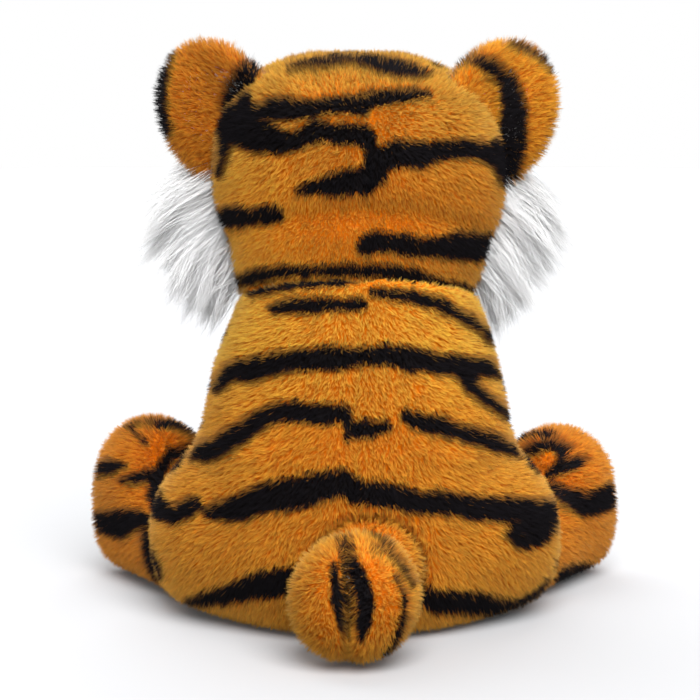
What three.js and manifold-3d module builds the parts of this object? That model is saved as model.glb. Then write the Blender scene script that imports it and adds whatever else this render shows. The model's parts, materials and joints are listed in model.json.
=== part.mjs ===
// A sitting tiger soft toy: plush skins sewn over polyester stuffing, a pellet bag in the seat,
// safety eyes locked by washers, and a head, legs and tail that flex at their seams.
// Millimetres, +Z up. The toy looks along -Y and its left side is at +X.

import * as THREE from 'three';
import { mergeVertices } from 'three/addons/utils/BufferGeometryUtils.js';
import Module from 'manifold-3d';

const wasm = await Module();
wasm.setup();

// Cloth and clearances
const CLOTH = 3; // plush backing with its pile pressed flat
const SEAM_GAP = 0.3; // between sewn panels
const LINING_GAP = 0.6; // between a skin and its stuffing
const FLEX_GAP = 1.1; // between parts that turn against each other
const SOCKET_GAP = 1.7; // around a ball end inside its socket
const NECK_GAP = 0.7; // between the head's round underside, the neck wad and the body
const FLAT_CUT = 0.5; // how deep the floor flattens a round form

// Body: a pear that stands on an oval base and narrows to the neck seam
const body = {
  width: 170,
  depth: 134,
  height: 204,
  baseWidth: 132,
  baseDepth: 92,
  baseOverlap: 4,
  neckWidth: 119,
  neckDepth: 104,
  lean: 8,
};
const belly = { width: 78, bottom: 6, top: 150 };
const pelletBag = { width: 96, depth: 52, height: 34, forward: 14 };

// Neck: the head turns on a ball surface whose centre lies inside the head
const neck = {
  sideSeam: 167,
  napeSeam: 181,
  forward: 5,
  pivotHeight: 204,
  wad: 6,
  wadWidth: 58,
  opening: 42,
};

// Head: broad and rather flat on top
const head = { width: 147, depth: 129, bottom: 132, top: 285, forward: 12 };
const muzzle = { width: 74, depth: 56, height: 46, centreHeight: 198, reach: 7 };
const nose = { width: 19, height: 13, depth: 7, centreHeight: 208 };
const eye = { width: 17, bulge: 6, height: 231, spacing: 66, shank: 14, shankWidth: 4.6, bore: 5.2 };
const eyeWasher = { width: 19, thickness: 1.8, depth: 1.1 };
const ear = {
  width: 62,
  height: 72,
  thickness: 14,
  lean: 22,
  centreHeight: 257,
  spacing: 138,
  forward: 12,
  dish: 4,
};
const ruff = {
  locks: 8,
  top: 236,
  bottom: 187,
  inset: 7,
  forward: 14,
  width: 22,
  upperLength: 39,
  lowerLength: 38,
};

// Haunches swell out of the body, and each hind leg turns on its haunch's upright axis
const haunch = { spacing: 116, width: 93, height: 88, forward: 8 };
const hindLeg = {
  splay: 31,
  reach: 124,
  rootWidth: 60,
  rootHeight: 58,
  footWidth: 66,
  footHeight: 88,
  rootInset: 26,
};
const bellyRoom = 7; // room for the hind leg to close beside the belly
const solePad = { width: 46, height: 60, thickness: 2 };

// Front legs hang from ball ends in the shoulders, with the paws on the floor
const frontLeg = {
  spacing: 104,
  shoulderHeight: 114,
  shoulderSink: 20,
  shoulderWidth: 46,
  width: 39,
  opening: 26,
};
const paw = { spacing: 60, width: 44, length: 54, height: 40, forward: 92 };

// Tail: a fat stub that lies on the floor behind the seat
const tail = {
  rootHeight: 38,
  rootSink: 15,
  rootWidth: 58,
  width: 64,
  reach: 121,
  side: -6,
  tipSide: 1,
  opening: 30,
};

// Facet counts
const AROUND = 20;
const AROUND_INSIDE = 12;
const NECK_SIDES = 36;
const NECK_SIDES_INSIDE = 24;
const BALL_SIDES = 14;
const LEG_SIDES = 12;
const LEG_SIDES_INSIDE = 8;

const material = (color, roughness, metalness = 0) =>
  new THREE.MeshStandardMaterial({ color, roughness, metalness });
const orangePlush = material(0xdc8c2d, 0.95);
const whitePlush = material(0xefeae2, 0.95);
const longWhiteFur = material(0xf4f4f4, 0.9);
const stuffing = material(0xf7f7f7, 1);
const cottonBag = material(0xd9d2c0, 0.9);
const blackPlastic = material(0x15110f, 0.15);
const clearNylon = material(0xe4e4e0, 0.4);
const pinkSatin = material(0xc47a72, 0.5);

const radians = THREE.MathUtils.degToRad;
const vector = (x, y, z) => new THREE.Vector3(x, y, z);

// A closed three.js geometry as a solid for cutting
function solid(geometry) {
  const bare = geometry.index ? geometry.clone() : mergeVertices(geometry);
  bare.deleteAttribute('normal');
  bare.deleteAttribute('uv');
  const merged = mergeVertices(bare, 1e-4);
  return new wasm.Manifold(new wasm.Mesh({
    numProp: 3,
    vertProperties: new Float32Array(merged.attributes.position.array),
    triVerts: new Uint32Array(merged.index.array),
  }));
}

function geometryOf(manifold) {
  const mesh = manifold.getMesh();
  const geometry = new THREE.BufferGeometry();
  geometry.setAttribute('position', new THREE.BufferAttribute(new Float32Array(mesh.vertProperties), 3));
  geometry.setIndex(new THREE.BufferAttribute(new Uint32Array(mesh.triVerts), 1));
  geometry.computeVertexNormals();
  return geometry;
}

// Smooth value between rows of numbers, at a place counted in rows
function between(rows, place) {
  const last = rows.length - 1;
  const from = Math.min(Math.floor(place), last - 1);
  const t = place - from;
  const row = (i) => rows[Math.max(0, Math.min(last, i))];
  return rows[0].map((_, c) => {
    const [a, b, d, e] = [row(from - 1)[c], row(from)[c], row(from + 1)[c], row(from + 2)[c]];
    const [slopeIn, slopeOut] = [(d - a) / 2, (e - b) / 2];
    return b * (2 * t ** 3 - 3 * t ** 2 + 1) + slopeIn * (t ** 3 - 2 * t ** 2 + t)
      + d * (3 * t ** 2 - 2 * t ** 3) + slopeOut * (t ** 3 - t ** 2);
  });
}

// A closed form through oval sections: rows of [along Z, half width X, half width Y, centre X, centre Y]
function loft(rows, sides, steps) {
  const positions = [];
  const indices = [];
  for (let i = 0; i <= steps; i++) {
    const [z, a, b, cx, cy] = between(rows, i / steps * (rows.length - 1));
    for (let k = 0; k < sides; k++) {
      const angle = 2 * Math.PI * k / sides;
      positions.push(cx + a * Math.cos(angle), cy + b * Math.sin(angle), z);
    }
  }
  for (let i = 0; i < steps; i++) {
    for (let k = 0; k < sides; k++) {
      const [p, q] = [i * sides + k, i * sides + (k + 1) % sides];
      indices.push(p, q, q + sides, p, q + sides, p + sides);
    }
  }
  const first = rows[0];
  const last = rows[rows.length - 1];
  positions.push(first[3], first[4], first[0], last[3], last[4], last[0]);
  const bottom = (steps + 1) * sides;
  for (let k = 0; k < sides; k++) {
    const next = (k + 1) % sides;
    indices.push(bottom, next, k, bottom + 1, steps * sides + k, steps * sides + next);
  }
  const geometry = new THREE.BufferGeometry();
  geometry.setAttribute('position', new THREE.Float32BufferAttribute(positions, 3));
  geometry.setIndex(indices);
  return solid(geometry);
}

const THIN_END = 0.3; // a drawn-in form never turns inside out at its tip

// The same sections, drawn in by a thickness at the sides and both ends
const inset = (rows, thickness) => {
  const [first, last] = [rows[0][0], rows[rows.length - 1][0]];
  const shorter = 1 - 2 * thickness / (last - first);
  const drawnIn = (size) => Math.max(THIN_END, size - thickness);
  const along = (z) => first + thickness + (z - first) * shorter;
  return rows.map(([z, a, b, cx, cy]) => [along(z), drawnIn(a), drawnIn(b), cx, cy]);
};

// Rows for a form whose near end is a ball about the start, followed by its own rows
const BALL_ANGLES = [12, 40, 66, 90, 108];
const ballEnded = (radius, rows) => BALL_ANGLES.map((angle) => {
  const size = radius * Math.sin(radians(angle));
  return [-radius * Math.cos(radians(angle)), size, size, 0, 0];
}).concat(rows);

// The section at a height, found by halving
function sectionAt(rows, height) {
  let [low, high] = [0, rows.length - 1];
  for (let i = 0; i < 40; i++) {
    const middle = (low + high) / 2;
    if (between(rows, middle)[0] < height) low = middle;
    else high = middle;
  }
  return between(rows, low);
}

const place = (manifold, matrix) => manifold.transform(matrix.elements);
const moved = (manifold, at) => manifold.translate([at.x, at.y, at.z]);
const mirrored = (manifold) => manifold.mirror([1, 0, 0]);

// Turns local +Z to a direction, keeping local +Y as near to up as it goes
function facing(direction, at, up = vector(0, 0, 1)) {
  const z = direction.clone().normalize();
  const x = up.clone().cross(z).normalize();
  const y = z.clone().cross(x);
  return new THREE.Matrix4().makeBasis(x, y, z).setPosition(at);
}

const ball = (radius, at, sides = BALL_SIDES) =>
  moved(solid(new THREE.SphereGeometry(radius, sides, Math.round(sides * 0.6))), at);

const oval = (rx, ry, rz, at, sides = LEG_SIDES) => {
  const geometry = new THREE.SphereGeometry(1, sides, Math.round(sides * 0.6));
  geometry.rotateX(Math.PI / 2);
  geometry.scale(rx, ry, rz);
  return moved(solid(geometry), at);
};

// A round bar from one point to another
function bar(radius, from, to, sides = AROUND_INSIDE) {
  const length = from.distanceTo(to);
  const geometry = new THREE.CylinderGeometry(radius, radius, length, sides);
  geometry.rotateX(Math.PI / 2);
  geometry.translate(0, 0, length / 2);
  const direction = to.clone().sub(from);
  const up = Math.abs(direction.z) > 0.9 * length ? vector(0, 1, 0) : vector(0, 0, 1);
  return place(solid(geometry), facing(direction, from, up));
}

const block = (low, high) => {
  const size = high.clone().sub(low);
  const centre = low.clone().add(high).multiplyScalar(0.5);
  return moved(solid(new THREE.BoxGeometry(size.x, size.y, size.z)), centre);
};

const FAR = 600; // beyond the toy in every direction
const aboveFloor = block(vector(-FAR, -FAR, 0), vector(FAR, FAR, FAR));
const onFloor = (manifold) => manifold.intersect(aboveFloor);
const leftHalf = block(vector(SEAM_GAP / 2, -FAR, -FAR), vector(FAR, FAR, FAR));
const rightHalf = mirrored(leftHalf);

// Body sections, from the base up past the neck seam
const bodyRows = (() => {
  const [w, d] = [body.width / 2, body.depth / 2];
  const [bw, bd] = [body.baseWidth / 2, body.baseDepth / 2];
  const [nw, nd] = [body.neckWidth / 2, body.neckDepth / 2];
  const h = body.height;
  const waist = (share) => w + (nw - w) * share;
  const chest = (share) => d + (nd - d) * share;
  return [
    [0, bw, bd, 0, 0],
    [0.04 * h, bw + 0.5 * (w - bw), bd + 0.5 * (d - bd), 0, 0],
    [0.12 * h, bw + 0.9 * (w - bw), bd + 0.86 * (d - bd), 0, 0],
    [0.25 * h, w, d, 0, 0],
    [0.42 * h, waist(0.22), chest(0.15), 0, -0.1 * body.lean],
    [0.54 * h, waist(0.37), chest(0.35), 0, -0.3 * body.lean],
    [0.70 * h, waist(0.62), chest(0.65), 0, -0.5 * body.lean],
    [0.82 * h, nw, nd, 0, -0.7 * body.lean],
    [h, 0.92 * nw, 0.94 * nd, 0, -body.lean],
  ];
})();

// Head sections, from inside the neck up to the crown
const headRows = (() => {
  const [w, d] = [head.width / 2, head.depth / 2];
  const [nw, nd] = [body.neckWidth / 2, body.neckDepth / 2];
  const [low, tall] = [head.bottom, head.top - head.bottom];
  const at = (share) => low + share * tall;
  return [
    [at(0), 0.55 * nw, 0.55 * nd, 0, -head.forward - 8],
    [at(0.10), 0.8 * nw, 0.78 * nd, 0, -head.forward - 4],
    [at(0.23), nw, 1.02 * nd, 0, -head.forward],
    [at(0.36), nw + 0.6 * (w - nw), 0.93 * d, 0, -head.forward],
    [at(0.52), w, d, 0, -head.forward],
    [at(0.70), 0.985 * w, 0.99 * d, 0, -head.forward],
    [at(0.84), 0.87 * w, 0.87 * d, 0, -head.forward],
    [at(0.94), 0.62 * w, 0.62 * d, 0, -head.forward],
    [at(0.99), 0.3 * w, 0.3 * d, 0, -head.forward],
    [at(1), 0.04 * w, 0.04 * d, 0, -head.forward],
  ];
})();

const NECK_DROP = 7; // from the side seam down to the middle of the neck

// Neck pivot: the centre of the sphere through the side seam and the nape seam
const neckPivot = (() => {
  const side = vector(body.neckWidth / 2, -neck.forward, neck.sideSeam);
  const [, , depth, , middle] = sectionAt(bodyRows, neck.napeSeam);
  const nape = vector(0, depth + middle, neck.napeSeam);
  const up = (p) => (neck.pivotHeight - p.z) ** 2;
  const y = (nape.y ** 2 + up(nape) - side.x ** 2 - side.y ** 2 - up(side)) / (2 * (nape.y - side.y));
  return vector(0, y, neck.pivotHeight);
})();
const neckRadius = neckPivot.distanceTo(vector(body.neckWidth / 2, -neck.forward, neck.sideSeam));
const neckMiddle = vector(0, -neck.forward, neck.sideSeam - NECK_DROP);
const neckAxis = neckPivot.clone().sub(neckMiddle).normalize();
const neckBall = (grow, sides = NECK_SIDES) => {
  const geometry = new THREE.SphereGeometry(neckRadius + grow, sides, Math.round(sides * 0.7));
  geometry.rotateX(Math.PI / 2);
  return place(solid(geometry), facing(neckAxis, neckPivot, vector(0, 1, 0)));
};

// Haunch, revolved about its upright axis, in shares of its radius and height
const haunchAxis = vector(haunch.spacing / 2, -haunch.forward, 0);
function haunchForm(grow, sides = AROUND) {
  const r = haunch.width / 2;
  const h = haunch.height;
  const outline = [
    [0.4 * r, 0], [0.62 * r, 0.035 * h], [0.82 * r, 0.1 * h], [0.96 * r, 0.22 * h], [r, 0.4 * h],
    [0.97 * r, 0.6 * h], [0.82 * r, 0.78 * h], [0.56 * r, 0.92 * h], [0.22 * r, 0.99 * h],
  ];
  const points = [new THREE.Vector2(0, -grow)];
  outline.forEach(([x, y], i) => points.push(new THREE.Vector2(x + grow, i === 0 ? -grow : y + grow * y / h)));
  points.push(new THREE.Vector2(0, h + grow));
  const geometry = new THREE.LatheGeometry(points, sides);
  geometry.rotateX(Math.PI / 2);
  return moved(solid(geometry), haunchAxis);
}

// Shoulder and tail sockets
const shoulderSection = sectionAt(bodyRows, frontLeg.shoulderHeight);
const shoulder = (() => {
  const x = frontLeg.spacing / 2;
  const across = Math.min(0.95, x / shoulderSection[1]);
  const front = shoulderSection[4] - shoulderSection[2] * Math.sqrt(1 - across ** 2);
  return vector(x, front + frontLeg.shoulderSink - frontLeg.shoulderWidth / 2, frontLeg.shoulderHeight);
})();
const tailSection = sectionAt(bodyRows, tail.rootHeight);
const tailRoot = vector(tail.side, tailSection[4] + tailSection[2] - tail.rootSink, tail.rootHeight);

const bothSides = (manifold) => manifold.add(mirrored(manifold));
const torso = (grow, sides) => {
  const form = loft(inset(bodyRows, -grow), sides, 10);
  return onFloor(form.add(bothSides(haunchForm(grow, sides))));
};
const sockets = bothSides(ball(frontLeg.shoulderWidth / 2 + SOCKET_GAP, shoulder))
  .add(ball(tail.rootWidth / 2 + SOCKET_GAP, tailRoot));

// Base and belly openings in the body's skin
const basePlate = (grow, thickness) => {
  const shape = new THREE.Shape();
  const [rx, ry] = [body.baseWidth / 2 - body.baseOverlap + grow, body.baseDepth / 2 - body.baseOverlap + grow];
  shape.absellipse(0, 0, rx, ry, 0, 2 * Math.PI, false, 0);
  return solid(new THREE.ExtrudeGeometry(shape, { depth: thickness, bevelEnabled: false, curveSegments: 18 }));
};
const bellyPrism = (grow) => {
  const shape = new THREE.Shape();
  const [rx, rz] = [belly.width / 2 + grow, (belly.top - belly.bottom) / 2 + grow];
  shape.absellipse(0, 0, rx, rz, 0, 2 * Math.PI, false, 0);
  const geometry = new THREE.ExtrudeGeometry(shape, { depth: FAR, bevelEnabled: false, curveSegments: 14 });
  geometry.rotateX(Math.PI / 2);
  geometry.translate(0, -body.depth / 8, (belly.top + belly.bottom) / 2);
  return solid(geometry);
};

const bodySkin = torso(0, AROUND)
  .subtract(loft(inset(bodyRows, CLOTH), AROUND_INSIDE, 10).add(bothSides(haunchForm(-CLOTH, AROUND_INSIDE))))
  .subtract(neckBall(NECK_GAP))
  .subtract(sockets)
  .subtract(basePlate(SEAM_GAP, CLOTH + 1));
const backSkin = bodySkin.subtract(bellyPrism(SEAM_GAP));
const backPanelLeft = backSkin.intersect(leftHalf);
const backPanelRight = backSkin.intersect(rightHalf);
const bellyPanel = bodySkin.intersect(bellyPrism(0));
const basePanel = basePlate(0, CLOTH);

const bagForm = (grow) => oval(
  pelletBag.width / 2 + grow,
  pelletBag.depth / 2 + grow,
  pelletBag.height / 2 + grow,
  vector(0, -pelletBag.forward, pelletBag.height / 2),
);
const seatLevel = CLOTH + SEAM_GAP;
const aboveSeat = block(vector(-FAR, -FAR, seatLevel), vector(FAR, FAR, FAR));
const padding = CLOTH + LINING_GAP;
const bodyStuffing = loft(inset(bodyRows, padding), AROUND_INSIDE, 10)
  .add(bothSides(haunchForm(-padding, AROUND_INSIDE)))
  .intersect(aboveSeat)
  .subtract(neckBall(2 * NECK_GAP + neck.wad))
  .subtract(sockets)
  .subtract(bagForm(SEAM_GAP));

// The wad of stuffing that the head turns on
const belowNeck = neckPivot.clone().addScaledVector(neckAxis, -FAR / 2);
const wadCore = bar(neck.wadWidth / 2, neckPivot, belowNeck);
const neckWad = neckBall(NECK_GAP + neck.wad).subtract(neckBall(NECK_GAP)).intersect(wadCore);

// Head skin: below the neck seam it follows the ball surface
const NOD_ROOM = 0.34; // share of the ball's radius that stays round below the pivot
const aboveCollar = (thickness) => {
  const slab = new THREE.BoxGeometry(FAR, FAR, FAR);
  slab.translate(0, 0, FAR / 2 - NOD_ROOM * neckRadius + thickness);
  return place(solid(slab), facing(neckAxis, neckPivot, vector(0, 1, 0)));
};
const headForm = (thickness, sides) => {
  const underside = neckBall(-thickness, thickness > 0 ? NECK_SIDES_INSIDE : NECK_SIDES);
  return loft(inset(headRows, thickness), sides, 12).intersect(underside.add(aboveCollar(thickness)));
};
const neckHole = bar(neck.opening / 2, neckPivot, belowNeck);

// Eyes: a frame on the face for each, +Z out of the head
const eyeFrame = (() => {
  const [, a, b, , cy] = sectionAt(headRows, eye.height);
  const x = eye.spacing / 2;
  const slope = Math.sqrt(1 - (x / a) ** 2);
  return facing(vector(x / a ** 2, -slope / b, 0), vector(x, cy - b * slope, eye.height));
})();
const SEAT = 0.8; // the eye and its hole are let into the pile
const revolve = (points, sides = AROUND_INSIDE) => {
  const geometry = new THREE.LatheGeometry(points.map(([x, y]) => new THREE.Vector2(x, y)), sides);
  geometry.rotateX(Math.PI / 2);
  return solid(geometry);
};
const dome = [90, 70, 50, 30, 10, 0].map((angle) => [
  eye.width / 2 * Math.cos(radians(angle)), SEAM_GAP - SEAT + eye.bulge * Math.sin(radians(angle))]);
dome[0][0] = 0;
const eyeSolid = place(revolve([
  [0, -eye.shank], [eye.shankWidth / 2, -eye.shank], [eye.shankWidth / 2, SEAM_GAP - SEAT],
  ...dome.slice().reverse()]), eyeFrame);
const washerTop = -CLOTH - eyeWasher.depth;
const washerSolid = place(revolve([
  [eye.bore / 2, washerTop], [eye.bore / 2, washerTop - eyeWasher.thickness],
  [eyeWasher.width / 2, washerTop - eyeWasher.thickness], [eyeWasher.width / 2, washerTop],
  [eye.bore / 2, washerTop]]), eyeFrame);
const eyeBore = place(revolve([
  [0, -eye.shank - 1], [eye.bore / 2, -eye.shank - 1], [eye.bore / 2, -SEAT],
  [eye.width / 2 + SEAM_GAP, -SEAT], [eye.width / 2 + SEAM_GAP, eye.bulge], [0, eye.bulge]]), eyeFrame);
const roomRadius = eyeWasher.width / 2 + SEAM_GAP;
const roomBottom = washerTop - eyeWasher.thickness - SEAM_GAP;
const washerRoom = place(revolve([
  [0, roomBottom], [roomRadius, roomBottom], [roomRadius, washerTop + SEAM_GAP], [0, washerTop + SEAM_GAP],
]), eyeFrame);

const headSkin = headForm(0, AROUND)
  .subtract(headForm(CLOTH, AROUND_INSIDE))
  .subtract(neckHole)
  .subtract(bothSides(eyeBore.add(washerRoom)));
const headPanelLeft = headSkin.intersect(leftHalf);
const headPanelRight = headSkin.intersect(rightHalf);
const headStuffing = headForm(padding, AROUND_INSIDE)
  .subtract(bothSides(eyeBore.add(washerRoom)));

// Muzzle: two soft lobes over a chin, open at the back where it is sewn to the face
const muzzleCentre = (() => {
  const [, , b, , cy] = sectionAt(headRows, muzzle.centreHeight);
  return vector(0, cy - b - muzzle.reach, muzzle.centreHeight);
})();
const muzzleForm = (thickness, sides = LEG_SIDES) => {
  const [w, d, h] = [muzzle.width / 2 - thickness, muzzle.depth / 2 - thickness, muzzle.height / 2 - thickness];
  const lobe = oval(0.62 * w, d, 0.8 * h, muzzleCentre.clone().add(vector(0.38 * w, 0, 0.2 * h)), sides);
  const chin = oval(0.55 * w, 0.86 * d, 0.66 * h, muzzleCentre.clone().add(vector(0, 0, -0.34 * h)), sides);
  return bothSides(lobe).add(chin);
};
const faceClear = headForm(-SEAM_GAP, AROUND);
const muzzleSkin = muzzleForm(0).subtract(muzzleForm(CLOTH, LEG_SIDES_INSIDE)).subtract(faceClear);
const muzzleStuffing = muzzleForm(padding, LEG_SIDES_INSIDE).subtract(faceClear);

// Nose: a rounded triangle, padded, sewn on the front of the muzzle
const noseSolid = (() => {
  const [w, h] = [nose.width / 2, nose.height / 2];
  const shape = new THREE.Shape();
  shape.moveTo(0, -h);
  shape.quadraticCurveTo(w * 0.5, -h * 0.6, w, h * 0.35);
  shape.quadraticCurveTo(w, h, w * 0.55, h);
  shape.lineTo(-w * 0.55, h);
  shape.quadraticCurveTo(-w, h, -w, h * 0.35);
  shape.quadraticCurveTo(-w * 0.5, -h * 0.6, 0, -h);
  const bevel = nose.depth / 4;
  const geometry = new THREE.ExtrudeGeometry(shape, {
    depth: nose.depth,
    curveSegments: 3,
    bevelSize: bevel,
    bevelOffset: -bevel,
    bevelThickness: bevel,
    bevelSegments: 2,
  });
  geometry.rotateX(Math.PI / 2);
  geometry.translate(0, muzzleCentre.y - muzzle.depth / 2 + nose.depth - 1, nose.centreHeight);
  return solid(geometry).subtract(muzzleForm(-SEAM_GAP)).subtract(faceClear);
})();

// Ears: two dished layers, leaning out from the crown
const earFrame = new THREE.Matrix4().makeRotationY(radians(ear.lean))
  .setPosition(vector(ear.spacing / 2, -ear.forward, ear.centreHeight));
const earBlank = (grow) => {
  const t = ear.thickness / 2 + grow;
  const row = (along, share) => [along * t, ear.width / 2 * share + grow, ear.height / 2 * share + grow, 0, 0];
  const rows = [row(-1, 0.84), row(-0.6, 0.965), row(0, 1), row(0.6, 0.965), row(1, 0.84)];
  return place(loft(rows, AROUND, 4), new THREE.Matrix4().makeRotationX(Math.PI / 2));
};
const earDish = oval(0.8 * ear.width / 2, ear.dish, 0.8 * ear.height / 2, vector(0, -ear.thickness / 2, 0));
const earForm = place(earBlank(0).subtract(earDish), earFrame).subtract(faceClear);
const earSplit = (side) => {
  const low = vector(-FAR, side > 0 ? SEAM_GAP / 2 : -FAR, -FAR);
  const high = vector(FAR, side > 0 ? FAR : -SEAM_GAP / 2, FAR);
  return place(block(low, high), earFrame);
};
const earBack = earForm.intersect(earSplit(1));
const earLining = earForm.intersect(earSplit(-1));

// Cheek ruffs: long locks that fan down and out from the cheek seam
const ruffSolid = (() => {
  let locks = null;
  for (let i = 0; i < ruff.locks; i++) {
    const share = i / (ruff.locks - 1);
    const height = ruff.top + share * (ruff.bottom - ruff.top);
    const [, a, , , cy] = sectionAt(headRows, height);
    const root = vector(a - ruff.inset, cy - ruff.forward - 6 * share, height);
    const dip = radians(36 + 26 * share);
    const length = ruff.inset + ruff.upperLength + share * (ruff.lowerLength - ruff.upperLength);
    const heading = vector(Math.cos(dip), -0.12, -Math.sin(dip));
    const cone = new THREE.ConeGeometry(ruff.width / 2, length, 8);
    cone.rotateX(Math.PI / 2);
    cone.translate(0, 0, length / 2);
    const lock = place(solid(cone), facing(heading, root));
    locks = locks ? locks.add(lock) : lock;
  }
  return locks.subtract(faceClear).subtract(place(earBlank(2 * SEAM_GAP), earFrame));
})();

// Hind leg: a tube that runs out from the haunch and swells into an upright foot
const legHeading = vector(Math.sin(radians(hindLeg.splay)), -Math.cos(radians(hindLeg.splay)), 0);
const hindLegRows = (() => {
  const [rw, rh] = [hindLeg.rootWidth / 2, hindLeg.rootHeight / 2];
  const [fw, fh] = [hindLeg.footWidth / 2, hindLeg.footHeight / 2];
  const s = (share) => hindLeg.rootInset + share * (hindLeg.reach - hindLeg.rootInset);
  const row = (share, w, h) => [s(share), w, h, 0, h - FLAT_CUT];
  const mix = (p, q, share) => p + share * (q - p);
  return [
    row(0, rw, rh),
    row(0.24, rw, rh),
    row(0.42, mix(rw, fw, 0.3), mix(rh, fh, 0.35)),
    row(0.56, mix(rw, fw, 0.75), mix(rh, fh, 0.85)),
    row(0.71, fw, fh),
    row(0.86, 0.95 * fw, 0.97 * fh),
    [s(0.96), 0.8 * fw, 0.82 * fh, 0, fh - FLAT_CUT],
    [s(1), 0.62 * fw, 0.66 * fh, 0, fh - FLAT_CUT],
  ];
})();
const hindLegFrame = facing(legHeading, haunchAxis);
const legRoom = haunchForm(FLEX_GAP).add(loft(inset(bodyRows, -bellyRoom), AROUND, 12));
const hindLegForm = (thickness, sides) => {
  const form = place(loft(inset(hindLegRows, thickness), sides, 8), hindLegFrame);
  return thickness ? form : onFloor(form).subtract(legRoom);
};
const hindLegSkin = hindLegForm(0, LEG_SIDES).subtract(hindLegForm(CLOTH, LEG_SIDES_INSIDE));
const hindLegStuffing = hindLegForm(padding, LEG_SIDES_INSIDE).subtract(legRoom);
const soleSolid = (() => {
  const shape = new THREE.Shape();
  shape.absellipse(0, 0, solePad.width / 2, solePad.height / 2, 0, 2 * Math.PI, false, 0);
  const geometry = new THREE.ExtrudeGeometry(shape, {
    depth: solePad.thickness,
    bevelEnabled: false,
    curveSegments: 12,
  });
  geometry.translate(0, hindLeg.footHeight / 2 - FLAT_CUT, hindLeg.reach + SEAM_GAP);
  return place(solid(geometry), hindLegFrame);
})();

// Front leg: ball end, tube and paw
const pawCentre = vector(paw.spacing / 2, -paw.forward, paw.height / 2 - FLAT_CUT);
const frontLegForm = (thickness, sides = LEG_SIDES) => {
  const r = frontLeg.width / 2;
  const heading = pawCentre.clone().sub(shoulder);
  const length = heading.length();
  const rows = ballEnded(frontLeg.shoulderWidth / 2, [
    [0.3 * length, 0.86 * r, 0.86 * r, 0, 0], [0.65 * length, 0.92 * r, 0.92 * r, 0, 0], [length, r, r, 0, 0]]);
  const [pw, pl, ph] = [paw.width, paw.length, paw.height].map((size) => size / 2 - thickness);
  return place(loft(inset(rows, thickness), sides, rows.length - 1), facing(heading, shoulder))
    .add(oval(pw, pl, ph, pawCentre, sides));
};
const bellyClear = onFloor(loft(inset(bodyRows, -FLEX_GAP), AROUND, 12).add(haunchForm(FLEX_GAP)))
  .subtract(ball(frontLeg.shoulderWidth / 2 + FLEX_GAP / 2, shoulder));
const inward = tailRoot.clone().setX(0).setZ(shoulder.z).sub(shoulder).normalize();
const shoulderHole = bar(frontLeg.opening / 2, shoulder, shoulder.clone().addScaledVector(inward, FAR / 2), 12);
const frontLegSkin = onFloor(frontLegForm(0))
  .subtract(frontLegForm(CLOTH, LEG_SIDES_INSIDE))
  .subtract(bellyClear)
  .subtract(shoulderHole);
const frontLegStuffing = frontLegForm(padding, LEG_SIDES_INSIDE).subtract(bellyClear);

// Tail: ball end in the rump, swelling to a blunt tip
const tailRows = (() => {
  const [r, root] = [tail.width / 2, tail.rootWidth / 2];
  const length = tail.reach - tailRoot.y;
  const drop = tailRoot.z - (r - FLAT_CUT);
  const side = tail.tipSide - tail.side;
  const row = (share, radius) => {
    const bend = Math.min(1, Math.max(0, share - 0.31) * 3.5);
    return [share * length, radius, radius, side * bend, drop * bend];
  };
  return ballEnded(root, [
    row(0.31, 0.7 * root), row(0.46, 0.92 * r), row(0.6, r), row(0.78, 0.9 * r),
    row(0.9, 0.68 * r), row(0.97, 0.4 * r), row(1, 0.12 * r)]);
})();
const tailFrame = new THREE.Matrix4()
  .makeBasis(vector(1, 0, 0), vector(0, 0, -1), vector(0, 1, 0))
  .setPosition(tailRoot);
const tailForm = (thickness, sides) =>
  place(loft(inset(tailRows, thickness), sides, tailRows.length - 1), tailFrame);
const tailHole = bar(tail.opening / 2, tailRoot, tailRoot.clone().add(vector(0, -FAR / 2, 0)), 12);
const tailSkin = onFloor(tailForm(0, AROUND)).subtract(tailForm(CLOTH, LEG_SIDES_INSIDE)).subtract(tailHole);
const tailStuffing = tailForm(padding, LEG_SIDES_INSIDE);

// Assembly
const toy = new THREE.Group();
toy.name = 'sitting_tiger_plush';

function add(name, manifold, finish) {
  const mesh = new THREE.Mesh(geometryOf(manifold), finish);
  mesh.name = name;
  toy.add(mesh);
}

function addPair(name, manifold, finish) {
  add(`${name}_left`, manifold, finish);
  add(`${name}_right`, mirrored(manifold), finish);
}

add('back_panel_left', backPanelLeft, orangePlush);
add('back_panel_right', backPanelRight, orangePlush);
add('belly_panel', bellyPanel, whitePlush);
add('base_panel', basePanel, orangePlush);
add('body_stuffing', bodyStuffing, stuffing);
add('pellet_bag', bagForm(0).intersect(aboveSeat), cottonBag);
add('neck_stuffing', neckWad, stuffing);
add('head_panel_left', headPanelLeft, orangePlush);
add('head_panel_right', headPanelRight, orangePlush);
add('head_stuffing', headStuffing, stuffing);
add('muzzle', muzzleSkin, whitePlush);
add('muzzle_stuffing', muzzleStuffing, stuffing);
add('nose', noseSolid, pinkSatin);
addPair('eye', eyeSolid, blackPlastic);
addPair('eye_washer', washerSolid, clearNylon);
addPair('ear_back', earBack, orangePlush);
addPair('ear_lining', earLining, whitePlush);
addPair('cheek_ruff', ruffSolid, longWhiteFur);
addPair('front_leg', frontLegSkin, orangePlush);
addPair('front_leg_stuffing', frontLegStuffing, stuffing);
addPair('hind_leg', hindLegSkin, orangePlush);
addPair('hind_leg_stuffing', hindLegStuffing, stuffing);
addPair('sole_pad', soleSolid, whitePlush);
add('tail', tailSkin, orangePlush);
add('tail_stuffing', tailStuffing, stuffing);

// The origin is under the middle of the toy's box
const box = new THREE.Box3().setFromObject(toy);
toy.position.set(-(box.min.x + box.max.x) / 2, -(box.min.y + box.max.y) / 2, -box.min.z);
toy.updateMatrixWorld(true);

export default toy;
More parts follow.
